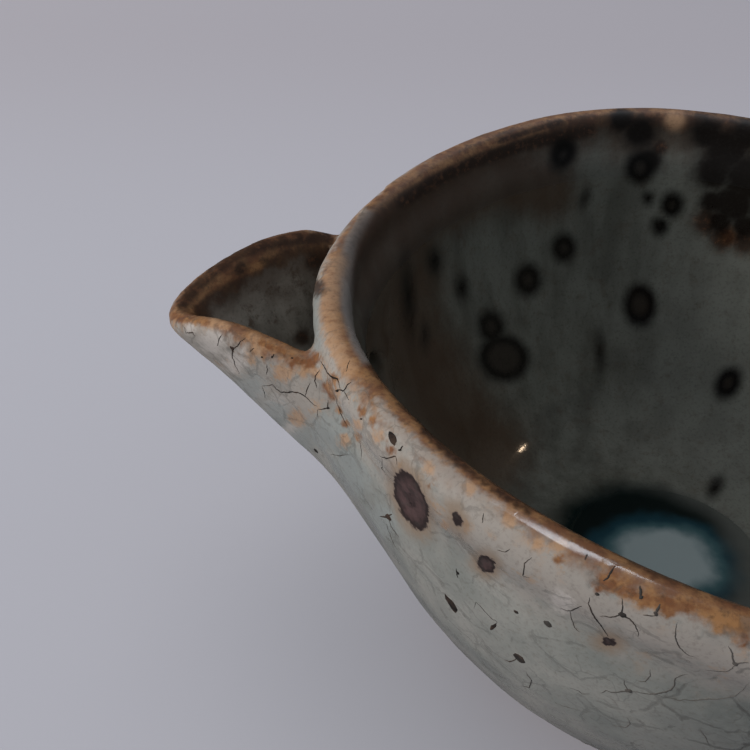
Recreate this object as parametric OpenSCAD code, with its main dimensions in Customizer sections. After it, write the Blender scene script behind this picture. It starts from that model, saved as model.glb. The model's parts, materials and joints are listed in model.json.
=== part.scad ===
// Katakuchi sake pourer: a thrown and glazed stoneware bowl with a luted, hand-pulled spout.
// Millimetres. The foot stands on Z = 0, the bowl turns about Z and the spout points along -X.

/* [Bowl] */
// Diameter over the glazed lip
rim_d = 116; // [104:1:130]
// Height from the table to the crest of the lip
height = 69; // [62:1:78]
// Thickness of the rounded lip, glaze included
lip_t = 5; // [4:0.25:6.5]
// How far the lip leans out beyond the wall below it
flare = 2; // [0.5:0.25:3.5]
// Height of the leaning zone under the lip bead
flare_h = 8.5; // [6:0.5:12]
// Clay wall at the top of the bowl
wall_t = 4; // [3:0.25:5.5]
// Clay wall where the bowl turns in above the foot
base_wall_t = 5.5; // [4.5:0.25:7.5]
// Clay floor under the well
floor_t = 4.5; // [3.5:0.25:6.5]
// Length of upright wall that the belly curve leaves from
shoulder_pull = 16.5; // [12:0.5:22]
// Length of straight wall that the belly curve rises from, above the foot
foot_pull = 19.5; // [14:0.5:25]
// Rise of the wall just above the foot, in degrees
foot_rise = 47.5; // [42:0.5:54]

/* [Foot] */
// Outer diameter of the foot ring
foot_d = 58; // [50:1:62]
// Height of the foot ring
foot_h = 6.5; // [4:0.5:9]
// Width of the flat face that the foot ring rests on
foot_face = 4.5; // [3:0.5:7]
// Taper of the foot ring's inner side over its height
foot_taper = 2.5; // [0.5:0.5:4]
// Turned bevel on the outer edge of the foot
foot_bevel = 1.2; // [0.5:0.1:2]
// Flat ledge of the bowl's base that stands out around the foot ring
base_ledge = 2.8; // [1.5:0.1:4]

/* [Well] */
// Diameter of the shallow well in the floor where glaze gathers
well_d = 33; // [26:1:40]
// Depth of the well
well_depth = 1.8; // [1:0.1:2.4]
// Run of the well's sloping edge
well_slope = 2.5; // [1:0.25:4]

/* [Pour hole] */
// Width of the hole pierced through the wall behind the spout
hole_w = 13; // [11:1:18]
// Height of the pour hole
hole_h = 10; // [7:1:11]
// Bridge of wall and lip left above the pour hole
bridge_h = 16.5; // [14:0.5:18]

/* [Spout] */
// Reach of the spout lip beyond the bowl's lip
spout_reach = 20.5; // [14:0.5:26]
// Width between the two ends of the spout lip, where they are luted to the wall
spout_w = 36; // [30:1:42]
// Height of the spout, from its lip down to the foot of its keel on the wall
spout_h = 38.5; // [36:0.5:41]
// Clay wall of the spout
spout_wall = 2.4; // [1.8:0.1:3.6]
// Drop of the spout lip's highest point below the middle of the bowl's lip bead
lip_fall = 1; // [0:0.1:3]
// Drop of the pouring tip below the highest point of the spout lip
tip_drop = 4.7; // [2:0.1:7]
// Pointedness of the spout in plan: 0 is a half ellipse
tip_point = 0.6; // [0:0.05:1]
// Straightness of the keel line: 1 is straight
keel_bow = 0.72; // [0.55:0.01:1]
// Width of the clay luting pressed into the joint
luting_w = 9.5; // [6:0.5:11]
// Fullness of the luting in the corner of the joint
luting_fill = 1.2; // [0.4:0.1:1.8]

/* [Glaze] */
// Thickness of the fired glaze coat
glaze_t = 0.5; // [0.3:0.05:0.8]
// Bare clay left between the foot ring and the edge of the glaze
bare_h = 4; // [1:0.5:8]
// Radius of the glaze roll at that edge
roll_r = 0.9; // [0.6:0.05:1.3]
// Depth of glass gathered in the well
pool_t = 1.1; // [0.6:0.1:1.6]

/* [Hidden] */

// Steps along the curves, round the spout and down its sides
curve_steps = 18;
lip_steps = 10;
spout_turns = 24;
spout_rows = 8;
cap_steps = 4;
seam_turns = 24;
arc_steps = 4;
halvings = 22;
$fn = 180;

// Bowl levels and radii, all on the clay
rim_r = rim_d / 2;
bead_r = lip_t / 2 - glaze_t;
bead_z = height - lip_t / 2;
bead_axis = rim_r - lip_t / 2;
belly_r = rim_r - flare - glaze_t;
belly_z = bead_z - flare_h;
base_r = foot_d / 2 + base_ledge;
well_r = well_d / 2;
well_z = foot_h + floor_t;
well_edge_z = well_z + well_depth;

// Handles of the belly curve, from the base to the belly
belly = [
    [base_r, foot_h],
    [base_r + foot_pull * cos(foot_rise), foot_h + foot_pull * sin(foot_rise)],
    [belly_r, belly_z - shoulder_pull],
    [belly_r, belly_z]
];
flare_pull = flare_h / 2;
outer_flare = [
    [belly_r, belly_z],
    [belly_r, belly_z + flare_pull],
    [bead_axis + bead_r, bead_z - flare_pull],
    [bead_axis + bead_r, bead_z]
];
inner_flare = [
    [bead_axis - bead_r, bead_z],
    [bead_axis - bead_r, bead_z - flare_pull],
    [belly_r - wall_t, belly_z + flare_pull],
    [belly_r - wall_t, belly_z]
];

// Cubic curve through four handles: point, direction and right-hand normal at t
function bez(h, t) = pow(1 - t, 3) * h[0] + 3 * t * pow(1 - t, 2) * h[1]
    + 3 * t * t * (1 - t) * h[2] + pow(t, 3) * h[3];
function bez_slope(h, t) = 3 * pow(1 - t, 2) * (h[1] - h[0]) + 6 * t * (1 - t) * (h[2] - h[1])
    + 3 * t * t * (h[3] - h[2]);
function unit(v) = v / norm(v);
function right_of(d) = unit([d[1], -d[0]]);
function bez_out(h, t, grow) = bez(h, t) + grow * right_of(bez_slope(h, t));
function bend(a, b, c, t) = pow(1 - t, 2) * a + 2 * t * (1 - t) * b + t * t * c;
function reversed(list) = [for (i = [len(list) - 1:-1:0]) list[i]];

// Where a rising curve reaches a height, by halving
function t_at(h, z, lo = 0, hi = 1, n = halvings) =
    n == 0 ? (lo + hi) / 2
    : bez(h, (lo + hi) / 2)[1] < z ? t_at(h, z, (lo + hi) / 2, hi, n - 1)
    : t_at(h, z, lo, (lo + hi) / 2, n - 1);
// Radius of the clay's outside at a height
function wall_r(z) = z < belly_z ? bez(belly, t_at(belly, z))[0]
    : z < bead_z ? bez(outer_flare, t_at(outer_flare, z))[0]
    : bead_axis + bead_r;

// Inside of the bowl: the belly curve, one wall further in, then a sweep down to the edge of the well
function wall_at(t) = wall_t + (base_wall_t - wall_t) * (1 - t);
function inside_at(t, grow) = bez_out(belly, t, -wall_at(t) - grow);
sweep_t = 0.3;
sweep_top = inside_at(sweep_t, 0);
sweep_dir = bez_slope(belly, sweep_t);
sweep_corner = [
    sweep_top[0] - (sweep_top[1] - well_edge_z) * sweep_dir[0] / sweep_dir[1],
    well_edge_z
];

// Profile runs of the bowl, each grown off the clay by a thickness of glaze
function outside_run(from, grow) =
    [for (i = [0:curve_steps]) bez_out(belly, from + (1 - from) * i / curve_steps, grow)];
function flare_run(h, grow) = [for (i = [0:lip_steps]) bez_out(h, i / lip_steps, grow)];
function bead_run(grow) =
    [for (i = [1:lip_steps - 1]) let (a = 180 * i / lip_steps)
        [bead_axis + (bead_r + grow) * cos(a), bead_z + (bead_r + grow) * sin(a)]];
function lip_run(grow) =
    concat(flare_run(outer_flare, grow), bead_run(grow), flare_run(inner_flare, grow));
function inside_run(grow) =
    [for (i = [0:curve_steps]) inside_at(1 - (1 - sweep_t) * i / curve_steps, grow)];
function sweep_run(grow) =
    [for (i = [1:lip_steps]) let (t = i / lip_steps)
        bend(inside_at(sweep_t, grow), sweep_corner + [0, grow], [well_r, well_edge_z + grow], t)];
function well_run(grow) = [[well_r - well_slope, well_z + grow], [0, well_z + grow]];
function floor_run(grow) = concat(inside_run(grow), sweep_run(grow), well_run(grow));

// Solid of revolution between two runs, or of the whole bowl filled to its outside
module skin(inner_run, outer_run) {
    rotate_extrude() polygon(concat(outer_run, reversed(inner_run)));
}
module filled_bowl(grow) {
    rotate_extrude()
        polygon(concat([[0, foot_h]], outside_run(0, grow), flare_run(outer_flare, grow),
                       bead_run(grow), [[bead_axis - bead_r - grow, bead_z], [0, bead_z]]));
}

// Pour hole: a round-ended slot through the wall, on the spout's side only
hole_r = hole_h / 2;
hole_z = height - bridge_h - hole_r;
hole_from = belly_r / 2;
module pour_hole() {
    toward_spout() translate([hole_from, 0, hole_z]) rotate([90, 0, 90])
        linear_extrude(rim_r - hole_from) {
            for (side = [-1, 1]) translate([side * (hole_w / 2 - hole_r), 0]) circle(hole_r);
            square([hole_w - hole_h, hole_h], center = true);
        }
}
module toward_spout() {
    rotate([0, 0, 180]) children();
}

// Spout: a mid surface swept round from one end of its lip to the other (turn -90 to 90 degrees),
// and down from the lip to the keel (drop 0 to 1), with walls grown to both sides of it
spout_tip = rim_r + spout_reach - spout_wall / 2 - glaze_t;
spout_half = spout_wall / 2;
keel_foot_z = bead_z - spout_h;
root_top = bead_axis - lip_t;
root_foot = wall_r(keel_foot_z) - wall_t;
drop_end = 0.97;
side_fullness = 7;
arch_at = 0.5;
root_give = 0.15;
function keel_at(drop) = root_foot - wall_t / 2
    + (spout_tip - root_foot + wall_t / 2) * pow(max(0, 1 - drop), keel_bow);
function root_at(drop) = root_top + (root_foot - root_top) * drop;
function half_w(drop) = (spout_w / 2 + glaze_t) * sqrt(max(0, 1 - pow(drop, side_fullness)));
function lip_z(s) = bead_z - lip_fall - tip_drop * pow((s - arch_at) / (1 - arch_at), 2);
function mid(turn, drop) = let (s = cos(turn), z0 = lip_z(s))
    [root_at(drop) + (keel_at(drop) - root_at(drop)) * s,
     half_w(drop) * sin(turn) * (1 + tip_point * root_give) / (1 + tip_point * s),
     z0 + (keel_foot_z - z0) * drop];
turn_eps = 0.5;
drop_eps = 0.004;
function down(turn, drop) = mid(turn, drop + drop_eps) - mid(turn, drop - drop_eps);
function facing(turn, drop) =
    unit(cross(down(turn, drop), mid(turn + turn_eps, drop) - mid(turn - turn_eps, drop)));
function drop_i(i) = drop_end * i / spout_rows;

// One section of the spout wall: up the outside, over the rounded lip and down the inside
function spout_path(turn, half) = concat(
    [for (i = [spout_rows:-1:0]) mid(turn, drop_i(i)) + half * facing(turn, drop_i(i))],
    [for (i = [1:cap_steps - 1]) let (a = 180 * i / cap_steps)
        mid(turn, 0) + half * (cos(a) * facing(turn, 0) - sin(a) * unit(down(turn, 0)))],
    [for (i = [0:spout_rows]) mid(turn, drop_i(i)) - half * facing(turn, drop_i(i))]);
spout_stations = [for (i = [0:spout_turns]) -90 + 180 * i / spout_turns];

// Closed solid lofted through rings of points; its ends are closed by a fan from each ring's first
// point, or by a strip across the ring
module loft(rings, fan = false) {
    n = len(rings[0]);
    last = (len(rings) - 1) * n;
    half = floor(n / 2);
    sides = [for (j = [0:len(rings) - 2], i = [0:n - 1]) let (a = j * n + i, b = j * n + (i + 1) % n)
        each [[a, b, b + n], [a, b + n, a + n]]];
    strip = [for (i = [0:half - 2]) each [[i, n - 1 - i, n - 2 - i], [i, n - 2 - i, i + 1]]];
    odd = n % 2 == 1 ? [[half - 1, half + 1, half]] : [];
    start = fan ? [for (i = [1:n - 2]) [0, i + 1, i]] : concat(strip, odd);
    end = [for (f = start) [last + f[0], last + f[2], last + f[1]]];
    polyhedron([for (r = rings) each r], concat(sides, start, end), convexity = 8);
}
module spout_loft(half) {
    toward_spout() loft([for (turn = spout_stations) spout_path(turn, half)]);
}
coat_gap = 0.03;
module spout_coat_loft() {
    toward_spout() loft([for (turn = spout_stations)
        concat(spout_path(turn, spout_half + glaze_t),
               reversed(spout_path(turn, spout_half + coat_gap)))]);
}

// Line where the outside of the spout runs into the wall of the bowl
function spout_face(turn, drop) = mid(turn, drop) + spout_half * facing(turn, drop);
function outside_wall(p) = norm([p[0], p[1]]) - wall_r(p[2]);
function seam_drop(turn, lo = 0, hi = drop_end, n = halvings) =
    n == 0 ? (lo + hi) / 2
    : outside_wall(spout_face(turn, (lo + hi) / 2)) > 0 ? seam_drop(turn, (lo + hi) / 2, hi, n - 1)
    : seam_drop(turn, lo, (lo + hi) / 2, n - 1);
function seam_end(lo = 0, hi = 90, n = halvings) =
    n == 0 ? (lo + hi) / 2
    : outside_wall(spout_face((lo + hi) / 2, 0)) > 0 ? seam_end((lo + hi) / 2, hi, n - 1)
    : seam_end(lo, (lo + hi) / 2, n - 1);

// Hollow fillet along that line, from a band on the spout to a band on the wall. Its edges run down
// through the clay to a hidden core, and both clays trim it
core_sink = 1;
edge_sink = 0.3;
joint_proud = 0.12;
luting_turn = 0.84;
function along(v, n) = unit(v - (v * n) * n);
function wall_facing(p) =
    unit([p[0], p[1], norm([p[0], p[1]]) * (wall_r(p[2] - 1) - wall_r(p[2] + 1)) / 2]);
function onto_wall(p) = let (k = wall_r(p[2]) / norm([p[0], p[1]])) [k * p[0], k * p[1], p[2]];
function seam_ring(turn, edge, fill) = let (
        drop = seam_drop(turn),
        corner = spout_face(turn, drop),
        spout_n = facing(turn, drop),
        wall_n = wall_facing(corner),
        up_turn = turn * luting_turn,
        up_drop = max(0, drop - luting_w / spout_h),
        up_n = facing(up_turn, up_drop),
        on_spout = spout_face(up_turn, up_drop),
        on_wall = onto_wall(corner + luting_w * along(spout_n, wall_n)),
        foot_n = wall_facing(on_wall),
        both = spout_n + wall_n,
        middle = corner + fill * both / (1 + spout_n * wall_n))
    concat([corner - core_sink * both, on_wall - core_sink * foot_n],
           [for (i = [0:arc_steps])
               bend(on_wall + edge * foot_n, middle, on_spout + edge * up_n, i / arc_steps)],
           [on_spout - core_sink * up_n]);
module seam_loft(edge, fill) {
    end = seam_end();
    toward_spout() loft([for (i = [0:seam_turns]) let (k = 2 * i / seam_turns - 1)
        seam_ring(end * (3 * k - pow(k, 3)) / 2, edge, fill)], fan = true);
}
module luting_loft() {
    seam_loft(-edge_sink, luting_fill);
}
module joint_loft() {
    seam_loft(glaze_t + joint_proud, luting_fill + glaze_t);
}

// Thrown bowl with its foot turned flat underneath and the pour hole pierced through
module bowl() {
    color("#7d6a58") difference() {
        rotate_extrude()
            polygon(concat([[0, foot_h]], outside_run(0, 0), lip_run(0), floor_run(0)));
        pour_hole();
    }
}

// Turned foot ring, bevelled outside and tapered inside, left bare
module foot_ring() {
    outer = foot_d / 2;
    color("#8f7a64") rotate_extrude()
        polygon([[outer - foot_bevel, 0], [outer, foot_bevel], [outer, foot_h],
                 [outer - foot_bevel - foot_face - foot_taper, foot_h],
                 [outer - foot_bevel - foot_face, 0]]);
}

// Hand-pulled spout, cut to the curve of the wall
module spout() {
    color("#84705c") difference() {
        spout_loft(spout_half);
        filled_bowl(0);
    }
}

// Clay pressed into the corner between spout and wall
module spout_luting() {
    color("#77644f") difference() {
        luting_loft();
        filled_bowl(0);
        spout_loft(spout_half);
    }
}

// Pale crackled coat on the outside, rolled at its lower edge
module outer_glaze() {
    from = t_at(belly, foot_h + bare_h);
    edge = bez(belly, from);
    color("#c3bfb4") difference() {
        rotate_extrude() {
            polygon(concat(outside_run(from, glaze_t), reversed(outside_run(from, 0))));
            difference() {
                translate(edge) circle(roll_r);
                polygon(concat([[0, foot_h]], outside_run(0, 0), [[0, belly_z]]));
            }
        }
        pour_hole();
        spout_loft(spout_half);
        joint_loft();
    }
}

// Iron-amber coat over the lip
module rim_glaze() {
    color("#9a7146") difference() {
        skin(lip_run(0), lip_run(glaze_t));
        spout_loft(spout_half);
        joint_loft();
    }
}

// Grey-green coat inside, down the wall and across the well
module inner_glaze() {
    color("#5d6258") difference() {
        skin(floor_run(0), floor_run(glaze_t));
        pour_hole();
    }
}

// Coat over both sides and the lip of the spout
module spout_glaze() {
    color("#a08a6c") difference() {
        spout_coat_loft();
        filled_bowl(glaze_t);
        joint_loft();
    }
}

// Coat over the luting, between the coats of the wall and the spout
module joint_glaze() {
    color("#aeb1a4") difference() {
        joint_loft();
        filled_bowl(0);
        spout_loft(spout_half);
        luting_loft();
    }
}

// Blue-green glass gathered in the well
module glaze_pool() {
    slope = well_slope / well_depth;
    bottom = well_z + glaze_t;
    color("#2f6f78") rotate_extrude()
        polygon([[0, bottom], [well_r - well_slope, bottom],
                 [well_r - well_slope + pool_t * slope, bottom + pool_t], [0, bottom + pool_t]]);
}

bowl();
foot_ring();
spout();
spout_luting();
outer_glaze();
rim_glaze();
inner_glaze();
spout_glaze();
joint_glaze();
glaze_pool();
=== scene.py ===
"""Katakuchi sake pourer: crackled stoneware glaze, an iron lip and a luted spout, dressed on the CAD frame."""

import json
import logging
import math
from collections.abc import Iterator
from contextlib import contextmanager
from dataclasses import dataclass, field
from enum import Enum
from functools import reduce
from random import Random

import bpy
import numpy as np
from bpy.types import ID, Curve, Material, Mesh, Node, NodeSocket as Socket, NodeTree, Object
from mathutils import Matrix, Quaternion, Vector, noise
from mathutils.bvhtree import BVHTree
from mathutils.kdtree import KDTree

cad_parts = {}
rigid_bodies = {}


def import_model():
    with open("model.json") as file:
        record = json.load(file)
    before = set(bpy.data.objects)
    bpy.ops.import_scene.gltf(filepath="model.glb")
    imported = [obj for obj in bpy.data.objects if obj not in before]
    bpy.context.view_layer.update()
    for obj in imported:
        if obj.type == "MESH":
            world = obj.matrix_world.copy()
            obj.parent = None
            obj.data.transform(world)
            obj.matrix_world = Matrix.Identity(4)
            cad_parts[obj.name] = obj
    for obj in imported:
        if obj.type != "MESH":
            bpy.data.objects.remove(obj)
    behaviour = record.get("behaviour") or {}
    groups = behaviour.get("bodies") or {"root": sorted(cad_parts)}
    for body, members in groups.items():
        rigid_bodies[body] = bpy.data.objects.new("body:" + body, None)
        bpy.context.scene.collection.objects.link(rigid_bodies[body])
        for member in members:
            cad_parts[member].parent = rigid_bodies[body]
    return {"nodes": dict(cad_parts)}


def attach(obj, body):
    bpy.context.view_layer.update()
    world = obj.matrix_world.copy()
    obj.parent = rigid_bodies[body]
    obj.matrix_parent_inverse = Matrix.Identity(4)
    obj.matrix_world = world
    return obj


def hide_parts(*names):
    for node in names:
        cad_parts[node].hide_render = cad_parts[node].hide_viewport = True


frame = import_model()

LOG = logging.getLogger("pourer")
MM = 0.001
TINY = 1e-9
BODY = "root"
BARE = -1
TRAIL_STRIDE = 0.7

Pixel = tuple[float, float]
Span = tuple[float, float]
Triple = tuple[float, float, float]
Grain = Triple
Ramp = tuple[float, float, float, float]
Colour = tuple[float, float, float, float]
Step = tuple[Vector, Vector]
Items = bpy.types.bpy_prop_collection


def tint(code: str) -> Colour:
    """Turns a hex colour as seen on screen into the linear colour a shader takes.

    Args:
        code: Colour as "#rrggbb".

    Returns:
        Linear red, green, blue and full alpha.
    """
    parts = [int(code[i:i + 2], 16) / 255 for i in (1, 3, 5)]
    linear = [c / 12.92 if c <= 0.04045 else ((c + 0.055) / 1.055) ** 2.4 for c in parts]
    return (*linear, 1.0)


def fade(low: float, high: float, value: np.ndarray) -> np.ndarray:
    """Steps values smoothly from 0 at low to 1 at high.

    Args:
        low: Value where the step starts.
        high: Value where the step ends.
        value: Values to step.

    Returns:
        The stepped values.
    """
    t = np.clip((value - low) / (high - low), 0, 1)
    return t * t * (3 - 2 * t)


def pick(*objects: Object) -> None:
    """Selects these objects alone and makes the first one active.

    Args:
        *objects: Objects to select.
    """
    bpy.ops.object.select_all(action="DESELECT")
    for one in objects:
        one.select_set(True)
    bpy.context.view_layer.objects.active = objects[0]


@contextmanager
def editing(obj: Object) -> Iterator[None]:
    """Holds an object in edit mode.

    Args:
        obj: Object to edit.

    Yields:
        Nothing, once the object is in edit mode.
    """
    pick(obj)
    bpy.ops.object.mode_set(mode="EDIT")
    yield
    bpy.ops.object.mode_set(mode="OBJECT")


def apply_modifier(obj: Object, kind: str, **settings: object) -> None:
    """Adds a modifier with these settings and applies it.

    Args:
        obj: Object to change.
        kind: Blender's name of the modifier's type.
        **settings: Properties to set on the modifier.
    """
    modifier = obj.modifiers.new(kind.lower(), kind)
    for name, value in settings.items():
        setattr(modifier, name, value)
    pick(obj)
    bpy.ops.object.modifier_apply(modifier=modifier.name)


def remesh(obj: Object, voxel: float) -> None:
    """Rebuilds an object's mesh from voxels.

    Args:
        obj: Object to change.
        voxel: Size of a voxel.
    """
    apply_modifier(obj, "REMESH", mode="VOXEL", voxel_size=voxel)


def shade_smooth(obj: Object) -> None:
    """Shades an object as a smooth surface.

    Args:
        obj: Object to shade.
    """
    pick(obj)
    bpy.ops.object.shade_smooth()


def linked(name: str, data: ID) -> Object:
    """Makes an object and puts it in the scene.

    Args:
        name: Name of the object.
        data: Mesh, curve, lamp or camera that it shows.

    Returns:
        The object, at the origin.
    """
    obj = bpy.data.objects.new(name, data)
    bpy.context.scene.collection.objects.link(obj)
    return obj


def copied(source: Object, name: str) -> Object:
    """Makes a bare copy of an object with its own mesh.

    Args:
        source: Object to copy.
        name: Name of the copy and of its mesh.

    Returns:
        The copy, at the origin and without materials.
    """
    mesh = source.data.copy()
    mesh.name = name
    mesh.materials.clear()
    return linked(name, mesh)


def rows(elements: Items, key: str) -> np.ndarray:
    """Reads a property of three numbers from each element of a mesh.

    Args:
        elements: Vertices, normals, faces or stored values.
        key: Name of the property.

    Returns:
        One row for each element.
    """
    flat = np.empty(len(elements) * 3, np.float32)
    elements.foreach_get(key, flat)
    return flat.reshape(-1, 3).astype(float)


def surface(mesh: Mesh) -> tuple[np.ndarray, np.ndarray]:
    """Reads the surface of a mesh.

    Args:
        mesh: Mesh to read.

    Returns:
        Its vertex places and normals, one row each.
    """
    return rows(mesh.vertices, "co"), rows(mesh.vertex_normals, "vector")


def put_points(mesh: Mesh, points: np.ndarray) -> None:
    """Moves a mesh's vertices.

    Args:
        mesh: Mesh to change.
        points: New places, one row each.
    """
    mesh.vertices.foreach_set("co", points.astype(np.float32).ravel())
    mesh.update()


def put_values(mesh: Mesh, name: str, values: np.ndarray) -> None:
    """Stores one number for each vertex under a name that materials can read.

    Args:
        mesh: Mesh that takes the numbers.
        name: Their name.
        values: The numbers.
    """
    layer = mesh.attributes.get(name) or mesh.attributes.new(name, "FLOAT", "POINT")
    layer.data.foreach_set("value", values.astype(np.float32))


def noise_at(points: np.ndarray, size: float, seed: float) -> np.ndarray:
    """Smooth noise from about -1 to 1 at each point.

    Args:
        points: Places, one row each.
        size: Length of a typical bump.
        seed: Shift that picks another pattern.

    Returns:
        One noise value for each point.
    """
    shift = Vector((seed, -seed, seed / 2))
    return np.array([noise.noise(Vector(p) / size + shift) for p in points])


@dataclass(frozen=True)
class PhotoCamera:
    """Camera at the photograph's place, solved in the part's frame."""

    place: Triple = (-43.41 * MM, -97.50 * MM, 127.20 * MM)
    facing: Triple = (-0.05156297, 0.78385808, -0.61879542)
    focal_px: float = 849.27
    side_px: float = 750.0
    sensor_mm: float = 36.0
    clip: Span = (0.005, 50)

    def build(self) -> None:
        """Adds the camera and makes it the scene's own."""
        data = bpy.data.cameras.new("photo_camera")
        data.sensor_width = self.sensor_mm
        data.lens = self.focal_px * self.sensor_mm / self.side_px
        data.clip_start, data.clip_end = self.clip
        camera = linked("photo_camera", data)
        camera.location = self.place
        camera.rotation_euler = Vector(self.facing).to_track_quat("-Z", "Y").to_euler()
        bpy.context.scene.camera = camera

    def axes(self) -> tuple[Vector, Vector, Vector]:
        """Finds the photograph's own directions.

        Returns:
            Unit directions ahead, to the right and up.
        """
        ahead = Vector(self.facing)
        right = ahead.cross(Vector((0, 0, 1))).normalized()
        return ahead, right, right.cross(ahead)

    def ray(self, pixel: Pixel) -> Vector:
        """Finds the direction from the camera through a pixel of the photograph.

        Args:
            pixel: Column and row in the photograph.

        Returns:
            Unit direction in the part's frame.
        """
        ahead, right, up = self.axes()
        across, down = ((at - self.side_px / 2) / self.focal_px for at in pixel)
        return (ahead + across * right - down * up).normalized()

    def pixels(self, points: np.ndarray) -> np.ndarray:
        """Finds where points fall in the photograph.

        Args:
            points: Places in the part's frame, one row each.

        Returns:
            Column and row of each point.
        """
        ahead, right, up = (np.array(axis) for axis in self.axes())
        away = points - np.array(self.place)
        depth = away @ ahead
        return self.side_px / 2 + self.focal_px * np.column_stack((away @ right, -(away @ up))) / depth[:, None]

    def pixel_size(self, point: Vector) -> float:
        """Width that one pixel of the photograph covers at a point."""
        return (point - Vector(self.place)).length / self.focal_px


class Zone(Enum):
    """Parts of the glazed skin, each one piece of the model."""

    OUTER = ("outer_glaze", "joint_glaze")
    RIM = ("rim_glaze",)
    INNER = ("inner_glaze",)
    SPOUT = ("spout_glaze",)


@dataclass(frozen=True)
class Ellipse:
    """Ellipse drawn on the photograph: centre, half axes and turn from level in degrees."""

    at: Pixel
    long: float
    wide: float
    turn: float


def ellipses(*drawn: tuple[float, float, float, float, float]) -> tuple[Ellipse, ...]:
    """Makes ellipses on the photograph.

    Args:
        *drawn: Column, row, half axes and turn of each.

    Returns:
        The ellipses.
    """
    return tuple(Ellipse((x, y), long, wide, turn) for x, y, long, wide, turn in drawn)


OUTSIDE_SPOTS = ellipses((411, 500, 31, 14.5, 68), (457, 519, 9, 5, 68), (486, 564, 10, 8, 40), (609, 642, 8, 5, 10))
INSIDE_SPOTS = ellipses(
    (408, 295, 30, 6, 86), (435, 262, 13, 7, 90), (462, 288, 12, 6.5, 90), (425, 335, 9, 3, 90),
    (491, 327, 18, 14, 80), (504, 358, 27, 24, 20), (528, 280, 18, 14, 90), (564, 248, 15, 13, 90),
    (640, 305, 23, 17, 90), (600, 353, 17, 4, 88), (728, 383, 18, 13, 120), (672, 205, 14, 12, 100),
    (660, 226, 10, 9, 90), (640, 168, 17, 15, 90), (563, 155, 18, 12, 120), (715, 487, 12, 7, 120),
    (648, 198, 7, 6, 90), (585, 198, 8, 4, 110),
)
PITS = ellipses(
    (232, 348, 2.2, 1.6, 0), (272, 357, 1.6, 1.0, 100), (328, 408, 2.0, 1.2, 0), (316, 451, 1.5, 1.1, 0),
    (262, 357, 1.2, 0.8, 0), (292, 358, 1.4, 0.9, 0), (393, 440, 9, 3.4, 62), (400, 450, 2, 1.2, 0),
    (451, 604, 11, 2.6, 62), (493, 627, 4.5, 2.2, 140), (519, 658, 5.0, 3.2, 70), (548, 624, 4.0, 3.0, 0),
    (622, 615, 4.2, 2.6, 0), (656, 614, 3.0, 2.0, 60), (629, 691, 4.0, 1.8, 10), (641, 597, 2.4, 2.4, 0),
    (597, 594, 2.6, 1.8, 0), (735, 664, 3.2, 2.2, 0), (458, 573, 1.8, 1.2, 80), (337, 391, 2.0, 1.2, 0),
    (388, 517, 3.4, 1.8, 20), (516, 612, 2.4, 1.6, 0), (361, 419, 1.6, 1.0, 0),
)


class Wash(Enum):
    """Colours that ran or pooled in the glaze, and a painted sky reflection that the cream wash lays inside; the value
    names the mark that the skin stores.
    """

    CREAM = "cream"
    CHALK = "chalk"
    GREEN = "green"
    PEACH = "peach"
    AMBER = "amber"
    BURNT = "burnt"
    STAIN = "stain"
    CHAR = "char"


@dataclass(frozen=True)
class WashPatch:
    """Patch of a wash, drawn as a soft disc on the photograph."""

    wash: Wash
    at: Pixel
    radius: float


def patches(wash: Wash, *discs: Triple) -> tuple[WashPatch, ...]:
    """Makes patches of one wash on the photograph.

    Args:
        wash: The wash.
        *discs: Column, row and radius of each.

    Returns:
        The patches.
    """
    return tuple(WashPatch(wash, (x, y), radius) for x, y, radius in discs)


def trail(wash: Wash, radius: float, *line: Pixel) -> tuple[WashPatch, ...]:
    """Patches of one wash that overlap along a line on the photograph.

    Args:
        wash: The wash.
        radius: Radius of each patch.
        *line: Corners of the line.

    Returns:
        The patches.
    """
    discs = []
    for start, end in zip(line, line[1:]):
        steps = max(1, round(math.dist(start, end) / (TRAIL_STRIDE * radius)))
        discs += [(*(a + (b - a) * step / steps for a, b in zip(start, end)), radius) for step in range(steps + 1)]
    return patches(wash, *discs)


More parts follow.
